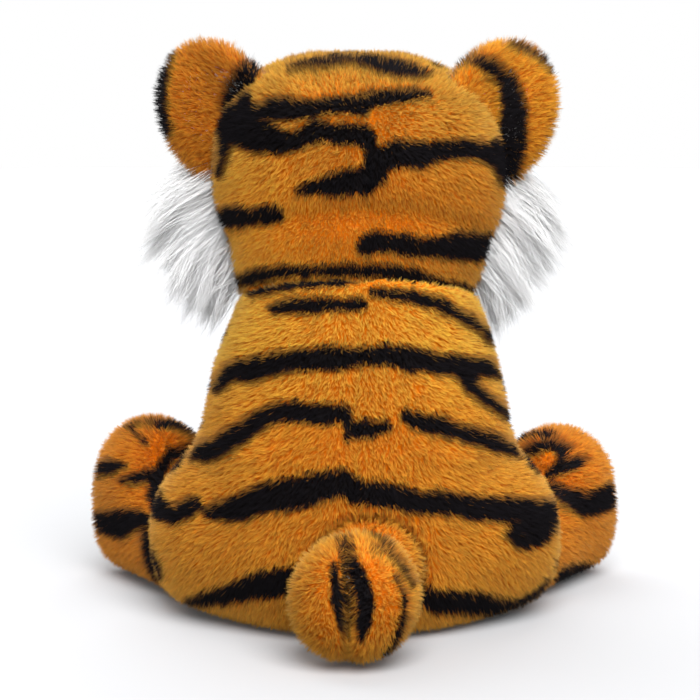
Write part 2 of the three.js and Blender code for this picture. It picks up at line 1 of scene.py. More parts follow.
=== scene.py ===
import json
import math

import bpy
import numpy as np
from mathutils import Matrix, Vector


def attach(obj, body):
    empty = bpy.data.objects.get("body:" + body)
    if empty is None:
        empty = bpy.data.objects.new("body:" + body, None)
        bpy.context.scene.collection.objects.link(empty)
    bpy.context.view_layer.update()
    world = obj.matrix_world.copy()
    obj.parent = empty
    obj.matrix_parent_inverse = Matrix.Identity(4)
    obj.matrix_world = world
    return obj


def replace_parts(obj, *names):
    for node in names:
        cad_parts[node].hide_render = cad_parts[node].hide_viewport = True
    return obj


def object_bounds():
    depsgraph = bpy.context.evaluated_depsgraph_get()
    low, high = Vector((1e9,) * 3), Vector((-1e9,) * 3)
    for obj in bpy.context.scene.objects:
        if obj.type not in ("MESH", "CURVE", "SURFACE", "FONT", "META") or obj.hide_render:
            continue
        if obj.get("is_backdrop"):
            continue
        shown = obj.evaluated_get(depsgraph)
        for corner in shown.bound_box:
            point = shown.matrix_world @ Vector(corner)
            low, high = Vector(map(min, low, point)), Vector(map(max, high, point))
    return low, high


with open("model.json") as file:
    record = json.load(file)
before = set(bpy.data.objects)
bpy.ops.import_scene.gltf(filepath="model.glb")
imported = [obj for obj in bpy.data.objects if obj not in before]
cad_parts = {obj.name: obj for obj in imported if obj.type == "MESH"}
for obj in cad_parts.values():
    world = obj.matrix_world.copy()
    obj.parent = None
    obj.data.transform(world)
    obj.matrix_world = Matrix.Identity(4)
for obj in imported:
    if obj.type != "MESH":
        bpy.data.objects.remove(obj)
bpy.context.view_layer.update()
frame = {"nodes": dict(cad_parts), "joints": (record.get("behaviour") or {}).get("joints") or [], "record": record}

# Forms are written in millimetres, in the frame that the CAD source uses before its origin moves
# under the middle of the toy's box. SHIFT is that move.
METRE = 0.001
PIVOT = {j["name"]: np.array(j["pos_m"]) / METRE for j in frame["joints"]}
HAUNCH_Y = -8.0  # of the hind legs' pivots, in the source's frame
SHIFT = np.array([0.0, PIVOT["hind_leg_left_splay"][1] - HAUNCH_Y, 0.0])
NECK = PIVOT["neck_turn"] - SHIFT
SHOULDER = PIVOT["front_leg_left_raise"] - SHIFT
TAIL_ROOT = PIVOT["tail_wag"] - SHIFT
HAUNCH = PIVOT["hind_leg_left_splay"] - SHIFT
NECK_AXIS = np.array([0.0, -0.41467, 0.90997])
NECK_RADIUS = 72.88
SHOULDER_RADIUS = 23.0
TAIL_ROOT_RADIUS = 29.0

SKIN = 4.8  # the cloth lies this far inside the outline, and the pile fills the rest
THIN_SKIN = 0.8  # the same where head and body meet
CLEARANCE = 0.2  # between pieces that move past each other
FLOOR = 0.4  # the lowest that the toy reaches
LEAN = 2.0  # how far the neck stands to the right of the middle

# The photograph's view: from behind, slightly above
ELEVATION = math.radians(8.5)
DISTANCE = 1.25
FOCAL_PX = 2500.0
IMAGE_PX = 700
SENSOR_MM = 36
TARGET = Vector((0.0025, 0.0, 0.135))
AIM_HEIGHT = 136.0  # the point at this height above the origin is seen at CENTRE_PX
CENTRE_PX = (355.0, 348.0)

SIDES = ((1, "left"), (-1, "right"))
rng = np.random.default_rng(41)


# Numbers and noise

def unit(v):
    return v / np.maximum(np.linalg.norm(v, axis=-1, keepdims=True), 1e-9)


def step(low, high, x):
    t = np.clip((x - low) / (high - low), 0, 1)
    return t * t * (3 - 2 * t)


def mix(a, b, share):
    return a + share * (b - a)


def cell_key(cells):
    """A whole number for each cell of a grid."""
    x, y, z = np.moveaxis(cells * np.array([73856093, 19349663, 83492791]), -1, 0)
    return x ^ y ^ z


def hashed(cells, seed):
    h = cell_key(cells) ^ seed * 668265263
    h = (h ^ (h >> 13)) * 1274126177
    return ((h ^ (h >> 16)) & 0xFFFF) / 65535.0


def noise(points, size, seed=0):
    """Smooth numbers from -1 to 1 that change over the given size."""
    q = points / size
    base = np.floor(q).astype(np.int64)
    t = q - base
    t = t * t * (3 - 2 * t)
    total = 0.0
    for corner in np.ndindex(2, 2, 2):
        weight = np.prod(np.where(np.array(corner), t, 1 - t), axis=-1)
        total = total + weight * hashed(base + np.array(corner), seed)
    return 2 * total - 1


# Forms as distance fields

def smin(a, b, k):
    h = np.clip(0.5 + 0.5 * (b - a) / k, 0, 1)
    return b * (1 - h) + a * h - k * h * (1 - h)


def smax(a, b, k):
    return -smin(-a, -b, k)


def smooth_rows(rows, samples=400):
    """A loft's rows, finely stepped: height, half width, half depth, and the middle's x and y."""
    rows = np.array(rows, float)
    last = len(rows) - 1
    place = np.linspace(0, last, samples)
    i = np.clip(place.astype(int), 0, last - 1)
    t = (place - i)[:, None]
    a, b, d, e = (rows[np.clip(i + k, 0, last)] for k in (-1, 0, 1, 2))
    table = (b * (2 * t ** 3 - 3 * t ** 2 + 1) + (d - a) / 2 * (t ** 3 - 2 * t ** 2 + t)
             + d * (3 * t ** 2 - 2 * t ** 3) + (e - b) / 2 * (t ** 3 - t ** 2))
    table[:, 0] = np.maximum.accumulate(table[:, 0]) + 1e-6 * np.arange(samples)
    return table


def loft(p, table, low_power=2.0):
    z = p[..., 2]
    a, b, cx, cy = (np.interp(z, table[:, 0], table[:, c]) for c in (1, 2, 3, 4))
    slope = np.interp(z, table[:, 0], np.gradient((table[:, 1] + table[:, 2]) / 2, table[:, 0]))
    x, y = p[..., 0] - cx, p[..., 1] - cy
    reach = np.sqrt(x * x + y * y)
    rho = np.sqrt((x / a) ** 2 + (y / b) ** 2)
    if low_power > 2:
        full = (np.abs(x / a) ** low_power + np.abs(y / b) ** low_power) ** (1 / low_power)
        rho = np.where(y < 0, full, rho)
    edge = np.where(rho > 1e-6, reach / np.maximum(rho, 1e-6), np.minimum(a, b))
    side = (reach - edge) / np.sqrt(1 + slope ** 2)
    return np.maximum(side, np.maximum(z - table[-1, 0], table[0, 0] - z))


def groove(across, depth, width):
    """How far a seam or a dart draws the cloth in, at a distance from its middle."""
    return depth * np.exp(-(across / width) ** 2)


def ball(p, centre, radius):
    return np.linalg.norm(p - centre, axis=-1) - radius


def oval(p, centre, radii):
    q = p - centre
    k0 = np.linalg.norm(q / radii, axis=-1)
    k1 = np.linalg.norm(q / np.square(radii), axis=-1)
    return k0 * (k0 - 1) / np.maximum(k1, 1e-9)


NECK_WIDE, NECK_DEEP = 59.5, 52


def body_rows():
    wide, deep, seat_wide, seat_deep, tall, lean = 85, 67, 66, 46, 204, 8
    rows = [
        (0, seat_wide - 7, seat_deep + 2, 0),
        (0.04, seat_wide - 4 + 0.5 * (wide - seat_wide), mix(seat_deep, deep, 0.5), 0),
        (0.12, mix(seat_wide, wide, 0.9), mix(seat_deep, deep, 0.86), 0),
        (0.25, wide, deep, 0),
        (0.42, mix(wide, NECK_WIDE, 0.22), mix(deep, NECK_DEEP, 0.15), 0.1),
        (0.54, mix(wide, NECK_WIDE, 0.37), mix(deep, NECK_DEEP, 0.35), 0.3),
        (0.70, mix(wide, NECK_WIDE, 0.62), mix(deep, NECK_DEEP, 0.65), 0.5),
        (0.82, NECK_WIDE, NECK_DEEP, 0.7),
        (1, 0.92 * NECK_WIDE, 0.94 * NECK_DEEP, 1)]
    return [[share * tall, w, d, 0, -back * lean] for share, w, d, back in rows]


def head_rows():
    wide, deep, low, tall, forward = 73.5, 64.5, 132, 153, 12
    rows = [
        (0, 0.55 * NECK_WIDE, 0.55 * NECK_DEEP, 8), (0.10, 0.8 * NECK_WIDE, 0.78 * NECK_DEEP, 4),
        (0.23, NECK_WIDE, 1.02 * NECK_DEEP, 0), (0.36, mix(NECK_WIDE, wide, 0.6), 0.93 * deep, 0),
        (0.52, wide, deep, 0), (0.70, 0.985 * wide, 0.99 * deep, 0), (0.84, 0.87 * wide, 0.87 * deep, 0),
        (0.94, 0.62 * wide, 0.62 * deep, 0), (0.99, 0.3 * wide, 0.3 * deep, 0),
        (1, 0.04 * wide, 0.04 * deep, 0)]
    return [[low + share * tall, w, d, 0, -(forward + more)] for share, w, d, more in rows]


def ball_ended(radius, rows):
    angles = np.radians([4, 20, 40, 66, 90, 108])
    return [[-radius * math.cos(t), radius * math.sin(t), radius * math.sin(t), 0, 0] for t in angles] + rows


BODY = smooth_rows(body_rows())
HEAD = smooth_rows(head_rows())
HAUNCH_ROWS = smooth_rows([
    [88 * h, 46.5 * r, 46.5 * r, -1 * max(0, 1 - h / 0.3), -11 * max(0, 1 - h / 0.45)] for r, h in [
        (0.4, 0), (0.62, 0.035), (0.82, 0.1), (0.96, 0.22), (1, 0.4),
        (0.97, 0.6), (0.82, 0.78), (0.56, 0.92), (0.22, 0.99), (0.04, 1)]])


def mirrored(p):
    return p * np.array([-1, 1, 1])


def to_left(p):
    """Places on the right, mirrored to the left."""
    return np.where(p[..., :1] < 0, mirrored(p), p)


def either_side(field):
    """A left-hand form and its mirror image."""
    return lambda p: np.minimum(field(p), field(mirrored(p)))


def torso_form(p):
    pear = loft(p, BODY)
    haunches = smin(loft(p - HAUNCH, HAUNCH_ROWS), loft(mirrored(p) - HAUNCH, HAUNCH_ROWS), 6)
    return smin(pear, haunches, 16)


def leaning(p):
    """Undoes the toy's slight lean to its right, so the forms can be written upright."""
    lean = LEAN * step(70, 180, p[..., 2]) * (1 - step(225, 265, p[..., 2]))
    return p + lean[..., None] * np.array([1.0, 0, 0])


SEAM_WIDTH = 1.8
HEAD_SEAM = -4.5  # where the head's seam runs, across


def torso(p):
    p = leaning(p)
    d = torso_form(p) + THIN_SKIN + (SKIN - THIN_SKIN) * step(0, 24, ball(p, NECK, NECK_RADIUS))
    d = d + 4.5 * step(110, 178, p[..., 2]) * (p[..., 0] / 60) ** 2
    d = d + np.where(p[..., 1] > 0, groove(p[..., 0], 1.5, SEAM_WIDTH), 0)
    d = d + 0.5 * noise(p, 26, 3)
    for centre, radius in ((NECK, NECK_RADIUS), (SHOULDER, SHOULDER_RADIUS),
                           (mirrored(SHOULDER), SHOULDER_RADIUS), (TAIL_ROOT, TAIL_ROOT_RADIUS)):
        d = smax(d, -ball(p, centre, radius + CLEARANCE), 1.5)
    # The seat's left edge is tucked in a little above the floor
    tuck = 1.4 * step(8, 28, p[..., 0]) * step(98, 80, p[..., 0]) * step(-5, 15, p[..., 1])
    return smax(d, FLOOR + tuck - p[..., 2], 2)


def above_neck(p):
    """How far each place lies above the wad of stuffing on which the head sits."""
    return (p - NECK) @ NECK_AXIS + 0.34 * NECK_RADIUS


def head_form(p):
    underside = smin(ball(p, NECK, NECK_RADIUS), -above_neck(p), 5)
    return smax(loft(p, HEAD), underside, 6)


def head(p):
    p = leaning(p)
    d = head_form(p) + THIN_SKIN + (SKIN - THIN_SKIN) * step(-14, 10, above_neck(p))
    d = d + 1.2 * (1 - step(168, 215, p[..., 2])) * (p[..., 0] / 60) ** 2 + 2.0 * step(262, 284, p[..., 2])
    d = d + np.where(p[..., 1] > -12, groove(p[..., 0] - HEAD_SEAM, 1.3, SEAM_WIDTH), 0)
    for q in (p, mirrored(p)):
        d = d + groove(np.linalg.norm(q - EYE, axis=-1), 1.8, 11)
    return d + 0.6 * noise(p, 24, 5)


EYE_X, EYE_HEIGHT, MUZZLE_HEIGHT = 33.0, 231.0, 198.0
MUZZLE_SKIN = 1.2


def head_row(height):
    return HEAD[np.argmin(np.abs(HEAD[:, 0] - height))]


def eye_place():
    """The middle of the left eye, and the way that it faces."""
    row = head_row(EYE_HEIGHT)
    slope = math.sqrt(1 - (EYE_X / row[1]) ** 2)
    return (np.array([EYE_X, row[4] - row[2] * slope, EYE_HEIGHT]),
            unit(np.array([EYE_X / row[1] ** 2, -slope / row[2], 0])))


EYE, EYE_OUT = eye_place()
muzzle_row = head_row(MUZZLE_HEIGHT)
MUZZLE = np.array([0, muzzle_row[4] - muzzle_row[2] - 7, MUZZLE_HEIGHT])


def muzzle(p):
    w, d, h = (size - MUZZLE_SKIN for size in (37, 28, 23))
    lobes = [oval(q, MUZZLE + np.array([0.38 * w, 0, 0.2 * h]), np.array([0.62 * w, d, 0.8 * h]))
             for q in (p, mirrored(p))]
    chin = oval(p, MUZZLE + np.array([0, 0, -0.34 * h]), np.array([0.55 * w, 0.86 * d, 0.66 * h]))
    return smin(smin(lobes[0], lobes[1], 3), chin, 4)


EAR = np.array([69.0, -12.0, 257.0])
EAR_LEAN = math.radians(22)
EAR_SKIN = 3.2
EAR_WIDEST = -6.5  # the height at which an ear is widest, from its middle


def turned_out(q, angle):
    c, s = math.cos(angle), math.sin(angle)
    return np.stack([q[..., 0] * c - q[..., 2] * s, q[..., 1], q[..., 0] * s + q[..., 2] * c], -1)


def ear_local(p):
    return turned_out(p - EAR, EAR_LEAN)


def ear_form(q):
    """The whole ear, and how far each place lies behind the middle of its cupped disc."""
    cup = q[..., 1] + 0.003 * (q[..., 0] ** 2 + q[..., 2] ** 2) - 15 * step(2, -30, q[..., 0])
    low = step(-6, -44, q[..., 2])
    lower = np.minimum(q[..., 2] - EAR_WIDEST, 0)
    flat = np.stack([q[..., 0] * (1 + 0.08 * low), 0 * cup, q[..., 2] - 0.06 * lower], -1)
    rim = oval(flat, np.array([0, 0, EAR_WIDEST]), np.array([32.5, 1e3, 42.0]))
    return smax(rim, np.abs(cup) - 7.0, 9), cup


def ear_back(p):
    d, cup = ear_form(ear_local(p))
    return smax(d + EAR_SKIN, -cup, 1.5)


def ear_white(p):
    q = ear_local(to_left(p))
    rim = np.sqrt((q[..., 0] / 19) ** 2 + ((q[..., 2] + 2) / 23) ** 2)
    return 1 - step(0.93, 1.0, rim + 0.03 * noise(p, 5, 17))


def ear_lining(p):
    q = ear_local(p)
    d, cup = ear_form(q)
    flat = np.stack([q[..., 0], cup, q[..., 2]], -1)
    dish = oval(flat, np.array([0, -7.5, 0]), np.array([24.0, 5.0, 28.0]))
    return smax(smax(d + EAR_SKIN, cup + CLEARANCE, 1.5), -dish, 4)


TURNOUT = math.radians(31)  # how far the hind legs point to the side
LEG_OUT = np.array([math.sin(TURNOUT), -math.cos(TURNOUT), 0])
LEG_SIDE = np.array([math.cos(TURNOUT), math.sin(TURNOUT), 0])
LEG_START, LEG_LENGTH, SOLE_PLANE = 26, 98, 122.5  # along LEG_OUT, from the haunch's pivot


def leg_rows():
    """A hind leg that lies on the floor, and whose foot is upright."""
    wide, high, foot_wide, foot_high = 30, 29, 33, 44
    rows = [
        (0, wide, high), (0.24, wide, high), (0.42, mix(wide, foot_wide, 0.3), mix(high, foot_high, 0.35)),
        (0.56, mix(wide, foot_wide, 0.75), mix(high, foot_high, 0.85)), (0.71, foot_wide, foot_high),
        (0.86, 0.95 * foot_wide, 0.97 * foot_high), (0.96, 0.8 * foot_wide, 0.82 * foot_high),
        (1, 0.62 * foot_wide, 0.66 * foot_high)]
    return [[LEG_START + share * LEG_LENGTH, w, h, 0, (foot_high if share > 0.9 else h) - 0.5]
            for share, w, h in rows]


LEG = smooth_rows(leg_rows())


def leg_local(p):
    q = p - HAUNCH
    return np.stack([q @ LEG_SIDE, q[..., 2], q @ LEG_OUT], -1)


def hind_leg(p):
    q = leg_local(p)
    d = smax(loft(q, LEG, 2.8), q[..., 2] - SOLE_PLANE, 5) + SKIN
    # A dart across the instep, where the foot turns up
    fold = (q[..., 2] - 52) * 0.8 - (q[..., 1] - 66) * 0.6
    d = d + groove(fold, 2.0, 2.2) * step(48, 66, q[..., 1])
    d = d + 0.6 * noise(p, 24, 8)
    d = smax(d, CLEARANCE - torso_form(p), 3)
    return smax(d, FLOOR - p[..., 2], 2)


PAW = np.array([30.0, -92.0, 19.5])
TOE_GAPS = (-7.0, 7.0)  # where a front paw's stitches run, across
ARM = unit(PAW - SHOULDER)
ARM_LENGTH = float(np.linalg.norm(PAW - SHOULDER))
ARM_SIDE = unit(np.cross([0, 0, 1], ARM))
ARM_UP = np.cross(ARM, ARM_SIDE)
ARM_ROWS = smooth_rows(ball_ended(SHOULDER_RADIUS, [
    [0.3 * ARM_LENGTH, 16.8, 16.8, 0, 0], [0.65 * ARM_LENGTH, 17.9, 17.9, 0, 0],
    [ARM_LENGTH, 19.5, 19.5, 0, 0], [ARM_LENGTH + 14, 12, 12, 0, 0], [ARM_LENGTH + 19, 1, 1, 0, 0]]))


def arm_local(p):
    q = p - SHOULDER
    return np.stack([q @ ARM_SIDE, q @ ARM_UP, q @ ARM], -1)


def front_leg(p):
    d = smin(loft(arm_local(p), ARM_ROWS), oval(p, PAW, np.array([22.0, 27.0, 20.0])), 9) + SKIN
    # Grooves between the toes
    for x in TOE_GAPS:
        d = d + groove(p[..., 0] - PAW[0] - x, 1.6, 1.5) * step(-112, -118, p[..., 1])
    d = d + 0.4 * noise(p, 20, 11)
    joint = ball(p, SHOULDER, SHOULDER_RADIUS + 0.6) < 0
    cut = np.where(joint, -9.0, CLEARANCE - torso_form(p))
    return smax(smax(d, cut, 1.0), FLOOR - p[..., 2], 2)


TAIL_END, TAIL_HEIGHT, TAIL_SIDE = 121.0, 31.5, 7  # where the tail's tip lies


def tail_rows():
    """A tail that leaves the body upwards of its tip, and bends down and to the left."""
    thick, root, length = 32, TAIL_ROOT_RADIUS, TAIL_END - TAIL_ROOT[1]

    def row(share, radius):
        bend = min(1, max(0, share - 0.31) * 3.5)
        return [share * length, radius, radius, TAIL_SIDE * bend, (TAIL_ROOT[2] - TAIL_HEIGHT) * bend]
    return ball_ended(root, [row(0.31, 0.7 * root), row(0.46, 0.92 * thick), row(0.6, thick),
                             row(0.78, 0.9 * thick), row(0.9, 0.68 * thick), row(0.97, 0.4 * thick),
                             row(1, 0.12 * thick)])


TAIL = smooth_rows(tail_rows())
TAIL_SEAM = 3.5  # where the tip's seam runs, across


def tail(p):
    q = p - TAIL_ROOT
    d = loft(np.stack([q[..., 0], -q[..., 2], q[..., 1]], -1), TAIL) + SKIN
    d = d + groove(p[..., 0] - TAIL_SEAM, 6.5, 2.6) * step(88, 108, p[..., 1])
    d = d + 0.5 * noise(p, 15, 13)
    return smax(d, FLOOR - p[..., 2], 2)


# Surfaces from fields

EDGES = [(a, b) for a in np.ndindex(2, 2, 2) for b in np.ndindex(2, 2, 2)
         if sum(abs(i - j) for i, j in zip(a, b)) == 1 and a < b]


def surface(field, low, high, size):
    """Points and four-sided faces where the field is 0."""
    axes = [np.arange(lo, hi + size, size) for lo, hi in zip(low, high)]
    grid = np.stack(np.meshgrid(*axes, indexing="ij"), -1)
    value = field(grid)
    inside = value < 0
    cells = tuple(n - 1 for n in value.shape)
    part = lambda a, c: a[c[0]:cells[0] + c[0], c[1]:cells[1] + c[1], c[2]:cells[2] + c[2]]
    count = sum(part(inside, c).astype(np.int8) for c in np.ndindex(2, 2, 2))
    active = (count > 0) & (count < 8)
    index = np.full(cells, -1)
    index[active] = np.arange(active.sum())
    where = np.argwhere(active)
    total = np.zeros((len(where), 3))
    crossings = np.zeros(len(where))
    for a, b in EDGES:
        va = value[tuple((where + a).T)]
        vb = value[tuple((where + b).T)]
        crossed = (va < 0) != (vb < 0)
        t = va[crossed] / (va[crossed] - vb[crossed])
        total[crossed] += np.array(a) + t[:, None] * (np.array(b) - np.array(a))
        crossings[crossed] += 1
    points = np.array(low) + size * (where + total / crossings[:, None])
    faces = []
    for axis in range(3):
        u, v = [(1, 2), (2, 0), (0, 1)][axis]
        here = inside.take(range(value.shape[axis] - 1), axis)
        there = inside.take(range(1, value.shape[axis]), axis)
        at = np.argwhere(here != there)
        at = at[(at[:, u] > 0) & (at[:, v] > 0) & (at[:, u] < cells[u]) & (at[:, v] < cells[v])]
        du, dv = np.eye(3, dtype=int)[u], np.eye(3, dtype=int)[v]
        quad = np.stack([index[tuple((at - o).T)] for o in (0 * du, du, du + dv, dv)], 1)
        flip = ~here[tuple(at.T)]
        quad[flip] = quad[flip][:, ::-1]
        faces.append(quad)
    return relaxed(points, np.concatenate(faces), 3)


def relaxed(points, faces, times):
    """Evens out a surface without shrinking it."""
    pairs = np.concatenate([faces[:, [k, (k + 1) % 4]] for k in range(4)])
    a, b = pairs.T
    many = len(points)
    count = np.bincount(pairs.ravel(), minlength=many)[:, None]
    for _ in range(times):
        for share in (0.5, -0.52):
            mean = np.stack([np.bincount(a, points[b, c], many) + np.bincount(b, points[a, c], many)
                             for c in range(3)], 1)
            points = points + share * (mean / count - points)
    return points, faces


def normals_of(points, faces):
    a, b, c, d = (points[faces[:, k]] for k in range(4))
    across = np.cross(c - a, d - b)
    total = np.stack([sum(np.bincount(faces[:, k], across[:, i], len(points)) for k in range(4))
                      for i in range(3)], 1)
    return unit(total)


# The print: strokes of black, in pixels of the photograph's view for what it shows

PX_PER_MM = 2.0
SAG_PX = np.array([0, 0.4])  # how far the pile carries the print down, as the photograph shows it
WIDER = 0.95  # so many mm are added at each edge of a stroke, where orange hairs fall over it


def projected(p):
    """Where the photograph's view shows each place, in pixels."""
    q = p + SHIFT
    across, back, up = -q[..., 0], q[..., 1], q[..., 2] - AIM_HEIGHT
    depth = DISTANCE / METRE - back * math.cos(ELEVATION) - up * math.sin(ELEVATION)
    up = up * math.cos(ELEVATION) - back * math.sin(ELEVATION)
    return np.stack([CENTRE_PX[0] + FOCAL_PX * across / depth, CENTRE_PX[1] - FOCAL_PX * up / depth], -1)


def stroke_distance(at, strokes):
    """How far each place is outside the nearest stroke; a stroke is points with a width at each."""
    best = np.full(at.shape[:-1], 1e9)
    for stroke in strokes:
        s = np.array(stroke, float)
        for a, b in zip(s[:-1], s[1:]):
            along = b[:-1] - a[:-1]
            t = np.clip((at - a[:-1]) @ along / max(along @ along, 1e-9), 0, 1)
            reach = np.linalg.norm(at - a[:-1] - t[..., None] * along, axis=-1)
            best = np.minimum(best, reach - (a[-1] + t * (b[-1] - a[-1])) / 2)
    return best


TORSO_BACK = [
    [(250, 291, 9), (262, 289, 11), (280, 286, 10), (300, 283, 10), (320, 281, 10), (340, 281, 9),
     (356, 280, 6)],
    [(269, 310, 5), (278, 309, 11), (295, 307, 15), (315, 307, 14), (340, 306, 12),
     (356, 306, 12), (362, 307, 8)],
    [(373, 293, 7), (382, 294, 9), (400, 296, 9), (420, 300, 12), (440, 305, 12), (460, 315, 11),
     (480, 326, 10), (497, 341, 7)],
    [(213, 390, 6), (222, 379, 14), (230, 373, 18), (240, 371, 21), (260, 368, 22), (280, 364, 21),
     (300, 362, 21), (320, 360, 20), (340, 360, 22), (360, 359, 16), (380, 357, 17), (400, 358, 21),
     (411, 361, 24), (430, 362, 20), (450, 366, 20), (470, 369, 22), (488, 368, 18), (500, 374, 9)],
    [(466, 376, 14), (474, 387, 13), (484, 396, 11), (499, 406, 10), (510, 415, 7)],
    [(190, 457, 6), (196, 453, 14), (205, 451, 21), (215, 449, 20), (227, 440, 20), (240, 433, 19),
     (260, 420, 18), (280, 412, 18), (295, 413, 20), (310, 415, 20), (330, 416, 18), (344, 416, 16)],
    [(347, 420, 7), (347, 440, 4)],
    [(359, 431, 15), (370, 430, 16), (386, 428, 8)],
    [(408, 418, 9), (420, 423, 16), (440, 427, 18), (460, 433, 16), (480, 438, 16), (500, 444, 17),
     (520, 453, 7)],
    [(207, 514, 12), (220, 512, 19), (240, 509, 24), (260, 500, 29), (280, 497, 30), (300, 494, 30),
     (320, 488, 28), (340, 485, 26), (350, 487, 20)],
    [(356, 493, 22), (380, 497, 23), (400, 500, 23), (420, 504, 22), (440, 504, 21), (460, 507, 21),
     (480, 510, 22), (500, 510, 23), (520, 511, 24), (540, 513, 26), (551, 510, 20)],
    [(552, 513, 20), (549, 527, 18), (539, 540, 17), (526, 543, 16), (515, 537, 12)],
    [(518, 530, 10), (530, 527, 12)],
    [(159, 467, 9), (151, 482, 13), (151, 497, 15), (157, 510, 17), (170, 516, 18), (182, 511, 18),
     (192, 505, 14), (199, 507, 5)],
    [(141, 534, 4), (144, 550, 9), (151, 566, 12), (156, 577, 8)],
    [(186, 603, 4), (205, 602, 11), (220, 598, 16), (240, 593, 21), (260, 588, 26), (280, 585, 28),
     (296, 583, 26)],
    [(408, 598, 22), (440, 604, 22), (460, 605, 21), (480, 606, 21), (500, 609, 12), (520, 604, 8),
     (540, 595, 8), (560, 582, 11), (572, 576, 12)],
]
HEAD_BACK = [
    [(289, 65, 6), (305, 60, 11), (320, 58, 12), (335, 56, 12), (352, 55, 11), (370, 58, 15), (385, 62, 18),
     (400, 65, 19), (412, 68, 15), (422, 70, 10), (433, 67, 5)],
    [(224, 116, 18), (232, 114, 20), (240, 118, 20), (255, 113, 18), (270, 109, 22), (285, 109, 22),
     (300, 110, 18), (320, 106, 14), (340, 105, 16), (360, 106, 18), (372, 99, 16), (390, 96, 13),
     (410, 94, 11), (429, 94, 6)],
    [(224, 128, 24), (236, 130, 28), (250, 137, 30), (262, 139, 30), (272, 142, 26), (285, 143, 20),
     (300, 140, 17), (310, 133, 19), (320, 132, 19), (335, 135, 18), (350, 135, 17), (362, 137, 19),
     (372, 150, 12)],
    [(376, 160, 22), (384, 160, 26), (400, 155, 26), (420, 157, 26), (440, 152, 19), (460, 150, 17),
     (477, 150, 18), (496, 158, 18)],
    [(374, 176, 24), (362, 184, 28), (345, 185, 26), (330, 187, 21), (312, 190, 13), (299, 193, 8)],
    [(220, 218, 16), (230, 218, 22), (240, 219, 18), (252, 220, 14), (265, 217, 16), (275, 216, 12)],
    [(365, 247, 17), (380, 243, 18), (400, 245, 19), (420, 250, 18), (440, 249, 22), (460, 248, 27),
     (480, 248, 27), (490, 249, 24), (498, 248, 16)],
    [(236, 282, 9), (250, 279, 13), (262, 277, 12), (280, 273, 9), (300, 274, 9), (325, 272, 9),
     (350, 272, 10), (370, 273, 11), (390, 273, 11), (410, 277, 13), (425, 281, 11), (440, 286, 9),
     (460, 290, 10), (472, 294, 9)],
    [(243, 94, 10), (240, 106, 16), (229, 120, 20), (225, 136, 17), (221, 152, 8), (217, 174, 7)],
    [(434, 62, 7), (450, 58, 9), (466, 55, 9), (482, 60, 10)],
    [(500, 148, 18), (507, 162, 22), (509, 176, 16), (507, 183, 8)],
]
EAR_BACK_LEFT = [
    [(168, 49, 8), (158, 62, 17), (153, 80, 22), (152, 95, 20), (156, 115, 15), (164, 134, 8)],
    [(258, 53, 14), (250, 64, 19), (243, 76, 21), (237, 88, 24), (234, 101, 26), (233, 116, 28),
     (230, 131, 24), (224, 144, 15), (219, 157, 10), (216, 174, 8)],
]
EAR_BACK_RIGHT = [
    [(434, 61, 7), (450, 57, 10), (465, 54, 10), (483, 59, 11), (498, 69, 14), (510, 80, 17), (514, 95, 20),
     (516, 110, 23), (515, 125, 26), (513, 140, 29), (511, 155, 30), (510, 171, 27), (508, 186, 15)],
    [(514, 39, 5), (530, 46, 9), (545, 54, 10), (556, 65, 6)],
]
FOOT_LEFT = [
    [(121, 422, 5), (138, 416, 8), (152, 414, 9), (168, 416, 9), (182, 421, 8), (198, 430, 6)],
    [(132, 430, 2), (146, 443, 2)],
    [(163, 464, 8), (172, 455, 12), (182, 452, 10), (197, 449, 8)],
    [(121, 481, 5), (132, 478, 9), (144, 476, 10), (156, 472, 8), (166, 466, 6)],
    [(92, 469, 14), (106, 467, 14), (116, 466, 9), (122, 467, 3)],
    [(92, 519, 10), (104, 523, 22), (116, 525, 27), (126, 521, 21), (136, 519, 18), (146, 520, 10)],
    [(161, 467, 9), (154, 482, 13), (154, 497, 15), (159, 509, 17)],
    [(143, 534, 5), (146, 550, 10), (152, 566, 13), (157, 577, 9)],
]
FOOT_RIGHT = [
    [(518, 453, 5), (530, 449, 9), (540, 445, 10), (552, 443, 11), (563, 447, 13), (571, 448, 6)],
    [(568, 449, 8), (562, 457, 6)],
    [(548, 475, 6), (558, 468, 10), (568, 465, 13), (578, 463, 13), (586, 461, 6)],
    [(554, 487, 8), (568, 496, 16), (580, 502, 20), (592, 506, 23), (604, 502, 23), (612, 494, 20),
     (618, 500, 12)],
    [(560, 582, 6), (568, 576, 12), (580, 572, 12), (592, 568, 6)],
]
TAIL_MIDDLE = [
    [(342, 536, 14), (347, 552, 14), (350, 575, 14), (352, 600, 16), (354, 622, 8)],
]
TAIL_BACK = [
    [(333, 565, 4), (335, 587, 9), (339, 605, 12), (341, 622, 8), (344, 634, 4)],
    [(350, 562, 8), (357, 575, 14), (363, 592, 18), (364, 609, 18), (362, 624, 14), (359, 640, 8)],
    [(372, 547, 3), (387, 548, 4), (397, 557, 3), (407, 570, 3), (415, 583, 3)],
    [(397, 577, 2), (405, 592, 3), (407, 605, 3), (405, 620, 4), (402, 633, 3), (396, 646, 3), (386, 656, 3)],
    [(364, 519, 4), (378, 529, 6), (392, 540, 6)],
]
